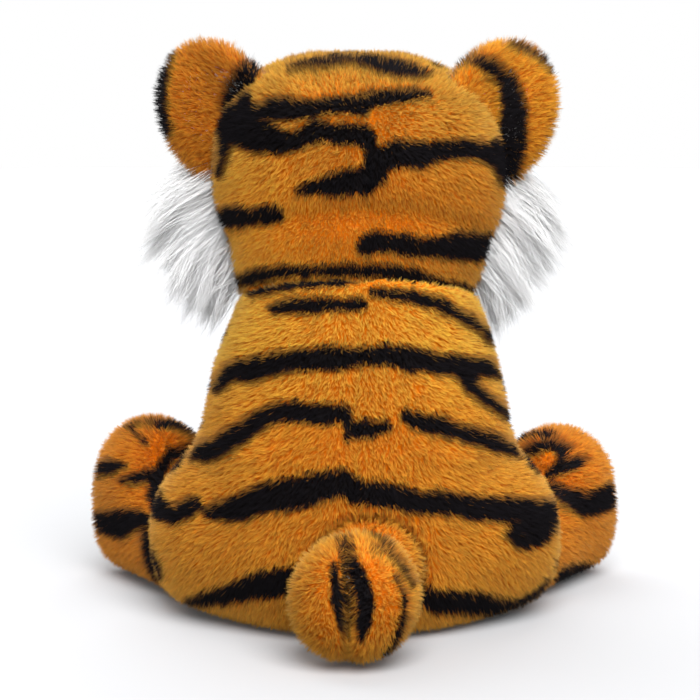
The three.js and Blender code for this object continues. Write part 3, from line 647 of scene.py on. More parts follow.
# Where the photograph doesn't reach: places on the sides are (y, z), on the face (x, z), in mm
TORSO_SIDE = [
    [(8, 122, 8), (-12, 117, 9), (-34, 118, 7), (-46, 121, 2)],
    [(8, 146, 5), (-14, 141, 7), (-34, 146, 2)],
    [(8, 83, 8), (-12, 76, 9), (-30, 79, 6), (-40, 82, 2)],
    [(6, 100, 4), (-10, 98, 6), (-24, 101, 2)],
]
HAUNCH_REACH, HAUNCH_TOP = 60, 92
HAUNCH_SIDE = [
    [(30, 60, 6), (8, 52, 9), (-14, 57, 7), (-30, 54, 2)],
    [(20, 30, 4), (2, 24, 7), (-16, 28, 2)],
    [(6, 78, 3), (-12, 74, 7), (-28, 78, 2)],
]
HEAD_SIDE = [
    [(8, 216, 9), (-10, 211, 8), (-26, 214, 2)],
    [(6, 252, 7), (-12, 247, 8), (-30, 250, 3)],
    [(6, 186, 8), (-12, 182, 7), (-24, 184, 2)],
]
FACE = [
    [(0, 279, 5), (0, 262, 6), (0, 250, 3)],
    [(5, 284, 4), (11, 270, 6), (9, 256, 3)],
    [(12, 282, 4), (24, 268, 6), (22, 257, 2)],
    [(62, 246, 8), (50, 243, 5), (42, 246, 2)],
    [(72, 228, 8), (58, 224, 6), (50, 226, 2)],
]
FACE += [[(-x, z, width) for x, z, width in stroke] for stroke in FACE[1:]]


def ragged(p, distance, edge=0.8):
    """Blackness from a distance in mm, with an uneven edge."""
    distance = distance + 1.0 * noise(p, 5, 21) + 0.6 * noise(p, 2.0, 22)
    return 1 - step(-edge, edge, distance)


def behind(p, strokes, edge=0.7):
    return ragged(p, stroke_distance(projected(p) - SAG_PX, strokes) / PX_PER_MM - WIDER, edge)


def beside(p, strokes):
    return ragged(p, stroke_distance(p[..., 1:], strokes))


def seen_from_front(p, strokes):
    return ragged(p, stroke_distance(p[..., [0, 2]], strokes))


# Colours are linear
# Each colour has a tip and a root; the darker roots are painted shade, for the depth of the pile.
ORANGE_TIP = np.array([1.0, 0.60, 0.068])
SHADED_ORANGE_ROOT = np.array([0.64, 0.165, 0.002])
OLIVE = np.array([0.52, 0.28, 0.03])
BLACK_TIP = np.array([0.0065, 0.0055, 0.0078])
SHADED_BLACK_ROOT = np.array([0.0055, 0.0035, 0.0035])
RED_BROWN = np.array([0.060, 0.012, 0.006])
WHITE_TIP = np.array([0.88, 0.87, 0.84])
SHADED_WHITE_ROOT = np.array([0.74, 0.71, 0.66])


def torso_print(p):
    back = behind(p, TORSO_BACK) * step(-10, -2, p[..., 1])
    side = beside(p, TORSO_SIDE) * step(4, -2, p[..., 1]) * step(20, 30, np.abs(p[..., 0]))
    near = either_side(lambda q: np.linalg.norm((q - HAUNCH)[..., :2], axis=-1))(p) < HAUNCH_REACH
    haunch = beside(p, HAUNCH_SIDE) * step(4, -2, p[..., 1]) * near * (p[..., 2] < HAUNCH_TOP)
    return np.maximum(back, np.maximum(side, haunch))


def torso_white(p):
    shape = np.sqrt((p[..., 0] / 39) ** 2 + ((p[..., 2] - 78) / 74) ** 2)
    return (1 - step(0.97, 1.03, shape + 0.03 * noise(p, 6, 31))) * (p[..., 1] < -8)


def crown_bands(p):
    """Parts the black on the crown, which the photograph shows edge-on, into two stripes."""
    along = p[..., 1] - 0.3 * np.maximum(np.abs(p[..., 0]) - 12, 0) + 4 * noise(p, 13, 71)
    gap = step(-10, -8, along) * (1 - step(-2, 0, along))
    bands = step(-22, -20, along) * (1 - gap)
    return 1 - (1 - bands) * step(262, 268, p[..., 2])


def head_print(p):
    back = behind(p, HEAD_BACK) * step(-26, -16, p[..., 1]) * crown_bands(p)
    side = beside(p, HEAD_SIDE) * step(-8, -16, p[..., 1]) * step(50, 60, np.abs(p[..., 0]))
    face = seen_from_front(p, FACE) * step(-22, -32, p[..., 1])
    return np.maximum(np.maximum(back, side), face)


def head_white(p):
    x, z = np.abs(p[..., 0]), p[..., 2]
    cheek = z - (208 + 0.10 * x + 2.5 * noise(p, 9, 33))
    brow = 8 * (np.sqrt(((x - 32) / 13) ** 2 + ((z - 246) / 8) ** 2) - 1)
    front = step(-48, -60, p[..., 1] - 0.12 * x)
    return np.clip((1 - step(-2, 2, cheek)) * front + (1 - step(-1.5, 1.5, brow)) * (p[..., 1] < -40), 0, 1)


def left_or_right(p, left, right):
    return np.where(p[..., 0] > 0, behind(p, left), behind(p, right))


def ear_print(p):
    return left_or_right(p, EAR_BACK_LEFT, EAR_BACK_RIGHT)


def ear_rim_print(p):
    return left_or_right(p, EAR_BACK_LEFT[:1], EAR_BACK_RIGHT[1:])


def foot_print(p):
    q = leg_local(to_left(p))
    back = left_or_right(p, FOOT_LEFT, FOOT_RIGHT) * step(-96, -84, p[..., 1])
    rings = [[(-60, 60, 7), (60, 62, 7)], [(-60, 88, 7), (60, 86, 7)]]
    front = ragged(p, stroke_distance(np.stack([q[..., 0], q[..., 2]], -1), rings))
    return np.maximum(back, front * step(12, 2, q[..., 0]) * step(30, 40, p[..., 2]))


def arm_print(p):
    q = arm_local(to_left(p))
    wave = q[..., 2] + 5 * np.sin(q[..., 0] / 9)
    bands = np.min([np.abs(wave - at) - half for at, half in ((22, 4), (44, 4.5), (66, 3.5))], axis=0)
    return ragged(p, bands) * step(-6, 6, q[..., 1] + 12)


def tail_print(p):
    bands = behind(p, TAIL_BACK, 0.8)
    speckled = behind(p, TAIL_MIDDLE, 0.8) * step(-0.35, 0.05, noise(p, 1.3, 25))
    return np.maximum(bands, speckled) * step(70, 78, p[..., 1])


def none(p):
    return np.zeros(p.shape[:-1])


def everywhere(p):
    return np.ones(p.shape[:-1])


# Pile

def combed(p, n, flow, spread, seed):
    """Directions along the surface: the flow, turned a little from place to place."""
    tangent = unit(flow - np.sum(flow * n, -1, keepdims=True) * n + 1e-6)
    across = np.cross(n, tangent)
    turn = spread * (0.55 * noise(p, 17, seed) + 0.55 * noise(p, 6, seed + 1))
    return tangent * np.cos(turn)[:, None] + across * np.sin(turn)[:, None]


def scattered(points, faces, density, keep):
    """Random places on a surface with the normals there; keep is each place's share of hairs."""
    normal = normals_of(points, faces)
    tris = np.concatenate([faces[:, [0, 1, 2]], faces[:, [0, 2, 3]]])
    a, b, c = (points[tris[:, k]] for k in range(3))
    area = np.linalg.norm(np.cross(b - a, c - a), axis=1) / 2
    area = area * keep(points[tris].mean(1), unit(normal[tris].mean(1)))
    total = area.sum()
    pick = rng.choice(len(tris), int(total * density), p=area / total)
    u, v = rng.random((2, len(pick)))
    over = u + v > 1
    u[over], v[over] = 1 - u[over], 1 - v[over]
    share = np.stack([1 - u - v, u, v], 1)[:, :, None]
    return (points[tris[pick]] * share).sum(1), unit((normal[tris[pick]] * share).sum(1))


def tufted(roots, size):
    """Which tuft each root belongs to: uneven cells of about the given size."""
    warped = roots + size * 0.55 * np.stack([noise(roots, size * 1.7, s) for s in (51, 52, 53)], -1)
    return np.unique(cell_key(np.floor(warped / size).astype(np.int64)), return_inverse=True)[1]


def tuft_mean(values, tuft):
    count = np.bincount(tuft)
    return np.stack([np.bincount(tuft, values[:, c]) / count for c in range(3)], 1)[tuft]


BLEED = (-1.5, 0.2)  # the print sits higher at the roots and lower at the tips, by so many mm
THIRDS = 2 * np.pi * np.arange(3) / 3


def pile(points, faces, flow, black, white, keep, density=2.9, length=5.5, lift=63, width=0.40, tuft=1.35,
         gather=0.42, spread=0.9, trim=None, shade=(1.0, 1.0, 1.0), seed=60):
    """Hairs as arrays: three corners at the root and one at the tip, with colours and normals."""
    roots, n = scattered(points, faces, density, keep)
    many = len(roots)
    group = tufted(roots, tuft)
    count = group.max() + 1
    tangent = combed(roots, n, flow(roots, n), spread, seed)
    side = np.cross(n, tangent)
    turn = (rng.normal(0, 0.30, count)[group] + rng.normal(0, 0.16, many))[:, None]
    tangent = tangent * np.cos(turn) + side * np.sin(turn)
    rise = np.radians(lift + rng.normal(0, 8, count)[group] + rng.normal(0, 6, many))[:, None]
    size = length * (1 + rng.normal(0, 0.10, count)[group] + rng.normal(0, 0.08, many))
    size = np.clip(size, 0.5 * length, 1.3 * length)
    if trim is not None:
        size = size * trim(roots)
    tip = roots + size[:, None] * (tangent * np.cos(rise) + n * np.sin(rise))
    tip = tip + gather * (tuft_mean(tip, group) - tip)
    tip[:, 2] = np.maximum(tip[:, 2], FLOOR + 0.6 * rng.random(many))
    along = unit(tip - roots)
    one = unit(np.cross(along, side + 0.01))
    two = np.cross(along, one)
    half = (width / 2 * (1 + rng.normal(0, 0.15, many)))[:, None]
    start = rng.random(many)[:, None] * 2
    around = [np.cos(start + t) * one + np.sin(start + t) * two for t in THIRDS]
    corners = np.stack([roots + half * v for v in around] + [tip], 1)
    soft = unit(np.stack([0.55 * v + 0.75 * n for v in around] + [0.35 * along + 0.75 * n], 1)
                + 0.10 * rng.normal(0, 1, (count, 1, 3))[group])

    jitter = rng.normal(0, 0.4, (many, 3))
    smear = rng.exponential(0.9, many)[:, None] * np.array([0, 0, 1.0])
    low_print = black(roots + 0.6 * (tip - roots) + jitter + np.array([0, 0, BLEED[0]]))
    high_print = black(tip + jitter + smear + np.array([0, 0, BLEED[1]]))
    pale = white(tip)[:, None]
    tone = 1 + 0.09 * rng.normal(0, 1, count)[group] + 0.09 * rng.normal(0, 1, many)
    tone = (tone + 0.08 * noise(roots, 22, 71) + 0.06 * noise(roots, 6, 72)).clip(0.55, 1.4)[:, None]
    warm = rng.normal(0, 0.5, many)[:, None].clip(-1, 1)
    # shade is painted light and shade: the orange is made lighter or darker by region, where the light falls so.
    dye_and_shade = shade(roots) if callable(shade) else np.array(shade)
    orange = ORANGE_TIP * dye_and_shade * (1 + warm * np.array([0.0, 0.10, 0.25]))
    deep = SHADED_ORANGE_ROOT * dye_and_shade
    over = (high_print * (1 - low_print))[:, None]
    under = (low_print * (1 - high_print))[:, None]
    colours = []
    for bright, dark, bleached, ink in (
            (deep + (OLIVE - deep) * 0.8 * over, low_print, SHADED_WHITE_ROOT, SHADED_BLACK_ROOT),
            (orange + (deep * 0.6 - orange) * 0.7 * under, high_print, WHITE_TIP, BLACK_TIP)):
        base = bright * (1 - pale) + bleached * pale
        ink = ink + (RED_BROWN - ink) * 0.6 * under
        colours.append((base * (1 - dark[:, None]) + ink * dark[:, None]) * tone)
    return corners, np.stack([colours[0]] * 3 + [colours[1]], 1), soft


def colour_attribute(mesh, colours):
    layer = mesh.attributes.new("dye_and_shade", "FLOAT_COLOR", "POINT")
    rgba = np.ones((len(colours), 4), np.float32)
    rgba[:, :3] = np.clip(colours, 0, 1)
    layer.data.foreach_set("color", rgba.ravel())


def placed(name, mesh, body):
    piece = bpy.data.objects.new(name, mesh)
    bpy.context.scene.collection.objects.link(piece)
    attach(piece, body)
    return piece


def hair_mesh(name, corners, colours, soft, sides, flip=False):
    """Many copies of one small form; sides lists the corners of each of its faces."""
    n, per = corners.shape[:2]
    order = np.concatenate(sides)
    first = np.cumsum([0] + [len(side) for side in sides[:-1]])
    each = np.arange(n)[:, None]
    mesh = bpy.data.meshes.new(name)
    mesh.vertices.add(per * n)
    mesh.vertices.foreach_set("co", ((corners + SHIFT) * METRE).astype(np.float32).ravel())
    mesh.loops.add(len(order) * n)
    mesh.loops.foreach_set("vertex_index", (order + per * each).astype(np.int32).ravel())
    mesh.polygons.add(len(sides) * n)
    mesh.polygons.foreach_set("loop_start", (first + len(order) * each).astype(np.int32).ravel())
    mesh.update(calc_edges=True)
    if flip:
        mesh.flip_normals()
    mesh.polygons.foreach_set("use_smooth", np.ones(len(sides) * n, bool))
    mesh.normals_split_custom_set_from_vertices(soft.reshape(-1, 3).astype(np.float32))
    colour_attribute(mesh, colours.reshape(-1, 3))
    return mesh


def strands(name, hairs, material, body):
    """One object of hairs; each has its own cell of the map, with cells of like colour together."""
    corners, colours, soft = hairs
    order = np.lexsort((corners[:, 0, 2], colours[:, 3].sum(-1) > 0.3))
    mesh = hair_mesh(name, corners[order], colours[order], soft[order], [[0, 1, 3], [1, 2, 3], [2, 0, 3]])
    n = len(corners)
    across = math.ceil(math.sqrt(n))
    cell = np.stack([np.arange(n) % across, np.arange(n) // across], 1)
    shape = np.array([[[0.05 + 0.31 * k, 0.08], [0.31 + 0.31 * k, 0.08], [0.18 + 0.31 * k, 0.92]]
                      for k in range(3)])
    place = (cell[:, None] + shape.reshape(9, 2)) / across
    layer = mesh.uv_layers.new(name="OFBake")
    layer.data.foreach_set("uv", place.astype(np.float32).ravel())
    mesh.materials.append(material)
    return placed(name, mesh, body)


def fur(name, hairs, body):
    """Printed pile as two pieces: the orange hairs, which have a sheen, and the black ones."""
    dark = hairs[1][:, 3].max(-1) < 0.2
    strands("fur_" + name, [part[~dark] for part in hairs], HAIR, body)
    if dark.any():
        strands("stripes_" + name, [part[dark] for part in hairs], INK_HAIR, body)


def shaped(name, points, faces, material, body, colours=None):
    """One object with the given corners and faces."""
    mesh = bpy.data.meshes.new(name)
    mesh.from_pydata(((points + SHIFT) * METRE).tolist(), [], faces)
    mesh.polygons.foreach_set("use_smooth", np.ones(len(faces), bool))
    if colours is not None:
        colour_attribute(mesh, colours)
    mesh.materials.append(material)
    return placed(name, mesh, body)


def skin_colours(points, black, white):
    dark, pale = black(points)[:, None], white(points)[:, None]
    # Painted shade: the skin under the pile takes the darkened root colours.
    base = SHADED_ORANGE_ROOT * 1.1 * (1 - pale) + SHADED_WHITE_ROOT * pale
    return base * (1 - dark) + SHADED_BLACK_ROOT * dark


# Materials

def add(tree, kind, operation=None, **inputs):
    """A new shader node with its plain inputs set."""
    node = tree.nodes.new("ShaderNode" + kind)
    if operation:
        node.operation = operation
    for socket, value in inputs.items():
        node.inputs[socket.replace("_", " ")].default_value = value
    return node


def shader(name, roughness, **sockets):
    material = bpy.data.materials.new(name)
    material.use_nodes = True
    principled = material.node_tree.nodes["Principled BSDF"]
    for socket, value in {"Roughness": roughness, **sockets}.items():
        principled.inputs[socket.replace("_", " ")].default_value = value
    return material, material.node_tree, principled


def texture(tree, kind, **inputs):
    """The value of a texture that stays with its piece."""
    place = add(tree, "TexCoord")
    pattern = add(tree, kind, **inputs)
    tree.links.new(place.outputs["Object"], pattern.inputs["Vector"])
    return pattern.outputs["Fac"]


def raised(tree, height, strength, distance):
    """Gives a material a relief."""
    rise = add(tree, "Bump", Strength=strength, Distance=distance)
    tree.links.new(height, rise.inputs["Height"])
    tree.links.new(rise.outputs["Normal"], tree.nodes["Principled BSDF"].inputs["Normal"])


def dyed_and_shaded(name, roughness, bump=0.0, **sockets):
    """Cloth or hair that takes its colour from the print and its painted light and shade, with fine unevenness in
    the dye.
    """
    material, tree, principled = shader(name, roughness, **sockets)
    dye_and_shade = add(tree, "Attribute")
    dye_and_shade.attribute_name = "dye_and_shade"
    grain = texture(tree, "TexNoise", Scale=420, Detail=2)
    level = add(tree, "MapRange", To_Min=0.86, To_Max=1.14)
    tree.links.new(grain, level.inputs["Value"])
    uneven = add(tree, "VectorMath", "SCALE")
    tree.links.new(dye_and_shade.outputs["Color"], uneven.inputs[0])
    tree.links.new(level.outputs["Result"], uneven.inputs["Scale"])
    tree.links.new(uneven.outputs["Vector"], principled.inputs["Base Color"])
    if bump:
        raised(tree, grain, bump, 0.0006)
    return material


def plain(name, colour, roughness, scale, bump, **sockets):
    """A material of one colour, with a fine grain."""
    material, tree, principled = shader(name, roughness, **sockets)
    grain = texture(tree, "TexNoise", Scale=scale, Detail=4)
    ramp = add(tree, "ValToRGB")
    for stop, place, shade in zip(ramp.color_ramp.elements, (0.3, 0.7), (0.86, 1.0)):
        stop.position = place
        stop.color = [shade * c for c in colour] + [1]
    tree.links.new(grain, ramp.inputs["Fac"])
    tree.links.new(ramp.outputs["Color"], principled.inputs["Base Color"])
    if bump:
        raised(tree, grain, bump, 0.0005)
    return material


INK_HAIR = dyed_and_shaded("black_pile", 0.65, Specular_IOR_Level=0.09)
HAIR = dyed_and_shaded("orange_pile", 0.7, Specular_IOR_Level=0.12, Sheen_Weight=0.4, Sheen_Roughness=0.6,
            Sheen_Tint=(1.0, 0.62, 0.22, 1))
WHITE_HAIR = dyed_and_shaded("white_pile", 0.7, Specular_IOR_Level=0.2, Sheen_Weight=0.35, Sheen_Roughness=0.6)
BACKING = dyed_and_shaded("backing_cloth", 0.95, 0.5, Specular_IOR_Level=0.1)
EYE_PLASTIC = dyed_and_shaded("eye_plastic", 0.08, Specular_IOR_Level=0.28)

FINISH = {
    "stuffing": plain("stuffing", (0.85, 0.85, 0.84), 0.95, 700, 0.8),
    "cotton_bag": plain("cotton_bag", (0.66, 0.61, 0.50), 0.9, 900, 0.5),
    "black_plastic": plain("black_plastic", (0.008, 0.006, 0.005), 0.12, 60, 0.0, Coat_Weight=0.6,
                           Coat_Roughness=0.04),
    "clear_nylon": plain("clear_nylon", (0.75, 0.75, 0.72), 0.4, 200, 0.1),
    "pink_satin": plain("pink_satin", (0.52, 0.19, 0.16), 0.42, 900, 0.3, Sheen_Weight=0.3),
    "sole_plush": plain("sole_plush", (0.80, 0.62, 0.44), 0.9, 1100, 0.8, Sheen_Weight=0.3),
    "black_thread": plain("black_thread", (0.012, 0.010, 0.011), 0.55, 2500, 0.3, Sheen_Weight=0.15),
}
# The nose's satin, with the fine ridges of its weave
SATIN = plain("pink_satin_weave", (0.56, 0.20, 0.17), 0.38, 900, 0.0, Sheen_Weight=0.4, Anisotropic=0.5)
raised(SATIN.node_tree, texture(SATIN.node_tree, "TexWave", Scale=500, Distortion=1.2), 0.5, 0.0003)
SOLE_TINT = np.array([0.98, 0.80, 0.60])


# How the pile lies, how long it is, and the light and shade painted on its orange

DOWN = np.array([0.0, 0.0, -1.0])
BACKWARD = np.array([0.0, 1.0, 0.0])


def neck_front(p):
    return step(0, -22, p[..., 1])


def torso_flow(p, n):
    outward = np.stack([0.35 * np.sign(p[:, 0]) * step(2, 45, np.abs(p[:, 0])), 0 * p[:, 0], 0 * p[:, 0]], -1)
    up = (neck_front(p) * step(9, 4, ball(p, NECK, NECK_RADIUS)))[:, None]
    return (DOWN + outward) * (1 - up) - DOWN * up


def head_flow(p, n):
    back = step(240, 285, p[:, 2])
    front = step(-45, -60, p[:, 1])
    flow = np.stack([0 * back, 0.9 * back * (1 - front), -1 + 0.4 * back], -1)
    away = unit(p - MUZZLE)
    return flow * (1 - front[:, None]) + away * front[:, None]


def ear_flow(p, n):
    centre = EAR - np.array([14.0, 0, 22.0])
    return unit(p - centre) + 0.3 * DOWN


def leg_flow(p, n):
    return LEG_OUT * 0.25 + DOWN + 0.2 * unit(p - HAUNCH)


def arm_flow(p, n):
    return ARM + 0.2 * DOWN


def tail_flow(p, n):
    inward = np.stack([-(p[:, 0] - TAIL_SEAM) / 26, 0 * p[:, 0], -(p[:, 2] - 26) / 60], -1)
    end = step(100, 120, p[:, 1])[:, None]
    return np.array([0, 1.0, -0.1]) * (1 - end) + inward * end + 0.05 * DOWN


def painted_light_by_height(rows):
    """Painted light and shade on the orange, by height, from rows of height, red, green and blue."""
    rows = np.array(rows)
    return lambda p: np.stack([np.interp(p[:, 2], rows[:, 0], rows[:, c]) for c in (1, 2, 3)], 1)


# Painted light and shade: the torso's orange is darker low down and lighter at the top, and the head's changes
# with height, where the light falls so.
TORSO_PAINTED_LIGHT = painted_light_by_height([(70, 0.84, 0.68, 0.5), (105, 0.92, 0.74, 0.5), (135, 1.06, 1.0, 0.9),
                           (165, 1.08, 1.05, 0.95)])
HEAD_PAINTED_LIGHT = painted_light_by_height([(170, 0.72, 0.62, 0.5), (205, 0.82, 0.58, 0.3), (225, 0.84, 0.66, 0.5),
                          (258, 0.76, 0.72, 0.7)])
# Painted shade: the hind legs, front legs and tail are darker, as if in shade.
HIND_PAINTED_SHADE = (0.77, 0.48, 0.2)
FRONT_PAINTED_SHADE = (0.88, 0.68, 0.4)
TAIL_PAINTED_SHADE = (0.91, 0.75, 0.55)


# Painted light: the head's left side is lighter below the crown, as if lit from that side.
def head_painted_light(p):
    lit = step(5, 40, p[:, 0]) * (1 - step(236, 262, p[:, 2]))
    return HEAD_PAINTED_LIGHT(p) * (1 + lit[:, None] * np.array([0.32, 0.42, 0.6]))


def floor_trim(p):
    return 0.75 + 0.25 * step(2, 14, p[:, 2])


def torso_trim(p):
    neck = np.maximum(step(0, 22, ball(p, NECK, NECK_RADIUS)), 0.8 * neck_front(p))
    return (0.6 + 0.4 * neck) * floor_trim(p)


def head_trim(p):
    low = 1 - step(0, 24, torso_form(p))
    return 1 - 0.4 * low + 0.75 * low * neck_front(p)


def clear_of(*fields, by=-0.6):
    """Which places lie outside the neighbours."""
    def keep(p, n):
        out = np.ones(len(p))
        for field in fields:
            out = out * (field(p) > by)
        return out * ((p[:, 2] > FLOOR + 0.8) | (n[:, 2] > -0.5))
    return keep


def on_side(side, field):
    """A left-hand function of places and directions, for the given side."""
    mirror = np.array([side, 1, 1])
    return lambda *vectors: field(*(v * mirror for v in vectors))


def flow_on_side(side, flow):
    turned = on_side(side, flow)
    return lambda p, n: turned(p, n) * np.array([side, 1, 1])


# Small parts and stitches

SOLE = np.array([0, 43.5, 119.6])  # the middle of a hind foot's sole, in the leg's own directions
STITCH_GAP = 1.6  # the pile is parted this far beside a stitch


def sole_pad(p):
    """The padded oval on a hind foot's sole."""
    q = leg_local(p) - SOLE
    share = (q[..., 0] / 22.0) ** 2 + (q[..., 1] / 29.0) ** 2
    outline = 22.0 * (np.sqrt(share) - 1)
    return smax(outline, np.abs(q[..., 2]) - 3.2 + share, 2.5)


def sole(p):
    """Below 0 where the pad covers the foot's skin."""
    q = leg_local(p)
    pad = (q[..., 2] > 112) & ((q[..., 0] / 21.0) ** 2 + ((q[..., 1] - SOLE[1]) / 28.0) ** 2 < 1)
    return np.where(pad, -5.0, 5.0)


def tail_clear(p):
    """The tail, left out far in front of its root."""
    return np.where(p[..., 1] > TAIL_ROOT[1] - 40, tail(p), 50.0)


NOSE = np.array([0.0, -106.6, 208.0])


def nose(p):
    """A rounded triangle, crowned in front."""
    q = p - NOSE
    x, z = np.abs(q[..., 0]), q[..., 2]
    outline = smax(smax(0.71 * x - 0.71 * z - 4.9, z - 5.9 - 0.02 * x, 3.0), x - 9.2, 3.0)
    crown = np.abs(q[..., 1] + 0.2) - 4.6 + 0.028 * (x ** 2 + 1.3 * z ** 2)
    return smax(outline, crown, 3.5)


def trace(field, starts, heading, rise):
    """Where rays first come within rise of a form."""
    p = np.array(starts, float)
    for _ in range(80):
        p = p + 0.8 * (field(p) - rise)[:, None] * heading
    return p


def smooth_path(points, times=3):
    for _ in range(times):
        points = np.array(points, float)
        cut = np.concatenate([0.75 * points[:-1] + 0.25 * points[1:], 0.25 * points[:-1] + 0.75 * points[1:]],
                             1)
        points = np.concatenate([points[:1], cut.reshape(-1, points.shape[1]), points[-1:]])
    return points


MOUTH = [[(0, 202), (0, 198), (0, 194), (0, 190.5)],
         [(0, 190.5), (3, 188), (7, 186.3), (11, 186.6), (14.5, 188.6), (17, 192)]]
MOUTH.append([(-x, z) for x, z in MOUTH[1]])


def mouth_lines(rise):
    return [trace(muzzle, [[x, -140.0, z] for x, z in smooth_path(line)], BACKWARD, rise) for line in MOUTH]


def toe_lines(side, squat, rise):
    """Stitches that part the toes of a front paw."""
    paths = []
    for x in TOE_GAPS:
        starts = [[PAW[0] + x * (1 + 0.01 * (z - 10)), -145.0, z] for z in np.linspace(9, 27, 9)]
        paths.append(trace(front_leg, starts, BACKWARD, rise) * np.array([side, 1, squat]))
    return paths


def foot_lines(side, squat, rise):
    """Stitches that part the toes of a hind foot, over its top edge."""
    paths = []
    for x in (-10.0, 10.0):
        starts = [HAUNCH + LEG_SIDE * x + LEG_OUT * out + np.array([0, 0, 110.0])
                  for out in (104, 109, 114, 119)]
        paths.append(smooth_path(trace(hind_leg, starts, DOWN, rise), 2) * np.array([side, 1, squat]))
    return paths


def off_thread(paths):
    """How far each place is outside the parting of the pile beside stitches."""
    strokes = [np.insert(path, 3, 2 * STITCH_GAP, axis=1) for path in paths]
    return lambda p: stroke_distance(p, strokes)


def tube(first, count, around):
    """Faces of a tube whose corners lie in rings, closed at both ends."""
    sides = [[first + around * i + k for i, k in ((row, k), (row, (k + 1) % around),
                                                  (row + 1, (k + 1) % around), (row + 1, k))]
             for row in range(count - 1) for k in range(around)]
    return sides + [list(range(first + around - 1, first - 1, -1)),
                    list(range(first + around * (count - 1), first + around * count))]


def thread(name, paths, radius, body):
    """Two-ply embroidery thread along each path."""
    verts, faces, around = [], [], 10
    for path in paths:
        lengths = np.concatenate([[0], np.cumsum(np.linalg.norm(np.diff(path, axis=0), axis=1))])
        count = max(8, int(lengths[-1] / 0.35))
        at = np.linspace(0, lengths[-1], count)
        centre = np.stack([np.interp(at, lengths, path[:, c]) for c in range(3)], 1)
        along = unit(np.gradient(centre, axis=0))
        one = unit(np.cross(along, np.array([0.3, 0.2, 1.0])))
        two = np.cross(along, one)
        end = np.minimum(at, lengths[-1] - at)
        size = radius * np.sqrt(np.clip(1 - (1 - np.minimum(end / radius, 1)) ** 2, 0.08, 1))
        faces += tube(len(verts), count, around)
        for k in range(count):
            for j in range(around):
                angle = 2 * math.pi * j / around
                ply = 1 + 0.16 * math.cos(2 * angle - 3.0 * at[k] / radius)
                turned = math.cos(angle) * one[k] + math.sin(angle) * two[k]
                verts.append(centre[k] + size[k] * ply * turned)
    return shaped(name, np.array(verts), faces, FINISH["black_thread"], body)


PUPIL = np.array([0.006, 0.005, 0.005])
IRIS = np.array([0.15, 0.045, 0.004])


def safety_eye(name, side):
    """A domed eye with its rim, turned about the way that it faces."""
    out = EYE_OUT * np.array([side, 1, 1])
    one = unit(np.cross(np.array([0, 0, 1.0]), out))
    two = np.cross(out, one)
    rings = [(8.5 * math.cos(math.radians(t)), 6.0 * math.sin(math.radians(t)) - 0.5)
             for t in range(0, 90, 6)]
    rings = [(0.8, -4.0), (8.2, -3.2), (8.5, -2.2)] + rings + [(0.45, 5.5)]
    verts, shades, around = [], [], 48
    for radius, rise in rings:
        ring = step(4.6, 5.2, radius) * step(7.4, 7.0, radius) * (rise > 0)
        for k in range(around):
            angle = 2 * math.pi * k / around
            verts.append(EYE * np.array([side, 1, 1]) + rise * out
                         + radius * (math.cos(angle) * one + math.sin(angle) * two))
            shades.append(PUPIL + ring * IRIS * (0.8 + 0.2 * math.cos(12 * angle)))
    return shaped(name, np.array(verts), tube(0, len(rings), around), EYE_PLASTIC, "head",
                  np.array(shades))


def muzzle_flow(p, n):
    return BACKWARD + 0.7 * np.sign(p[:, :1]) * np.array([1.0, 0, 0]) + 0.3 * DOWN


# Cheek ruffs: long locks of three-sided hairs

LOCKS, HAIRS_PER_LOCK = 140, 98
# Painted shade: the right ruff's white is dimmed, as if it lay in shade.
RUFF_PAINTED_SHADE = {1: 1.0, -1: 0.9}  # the photograph's right ruff is greyer


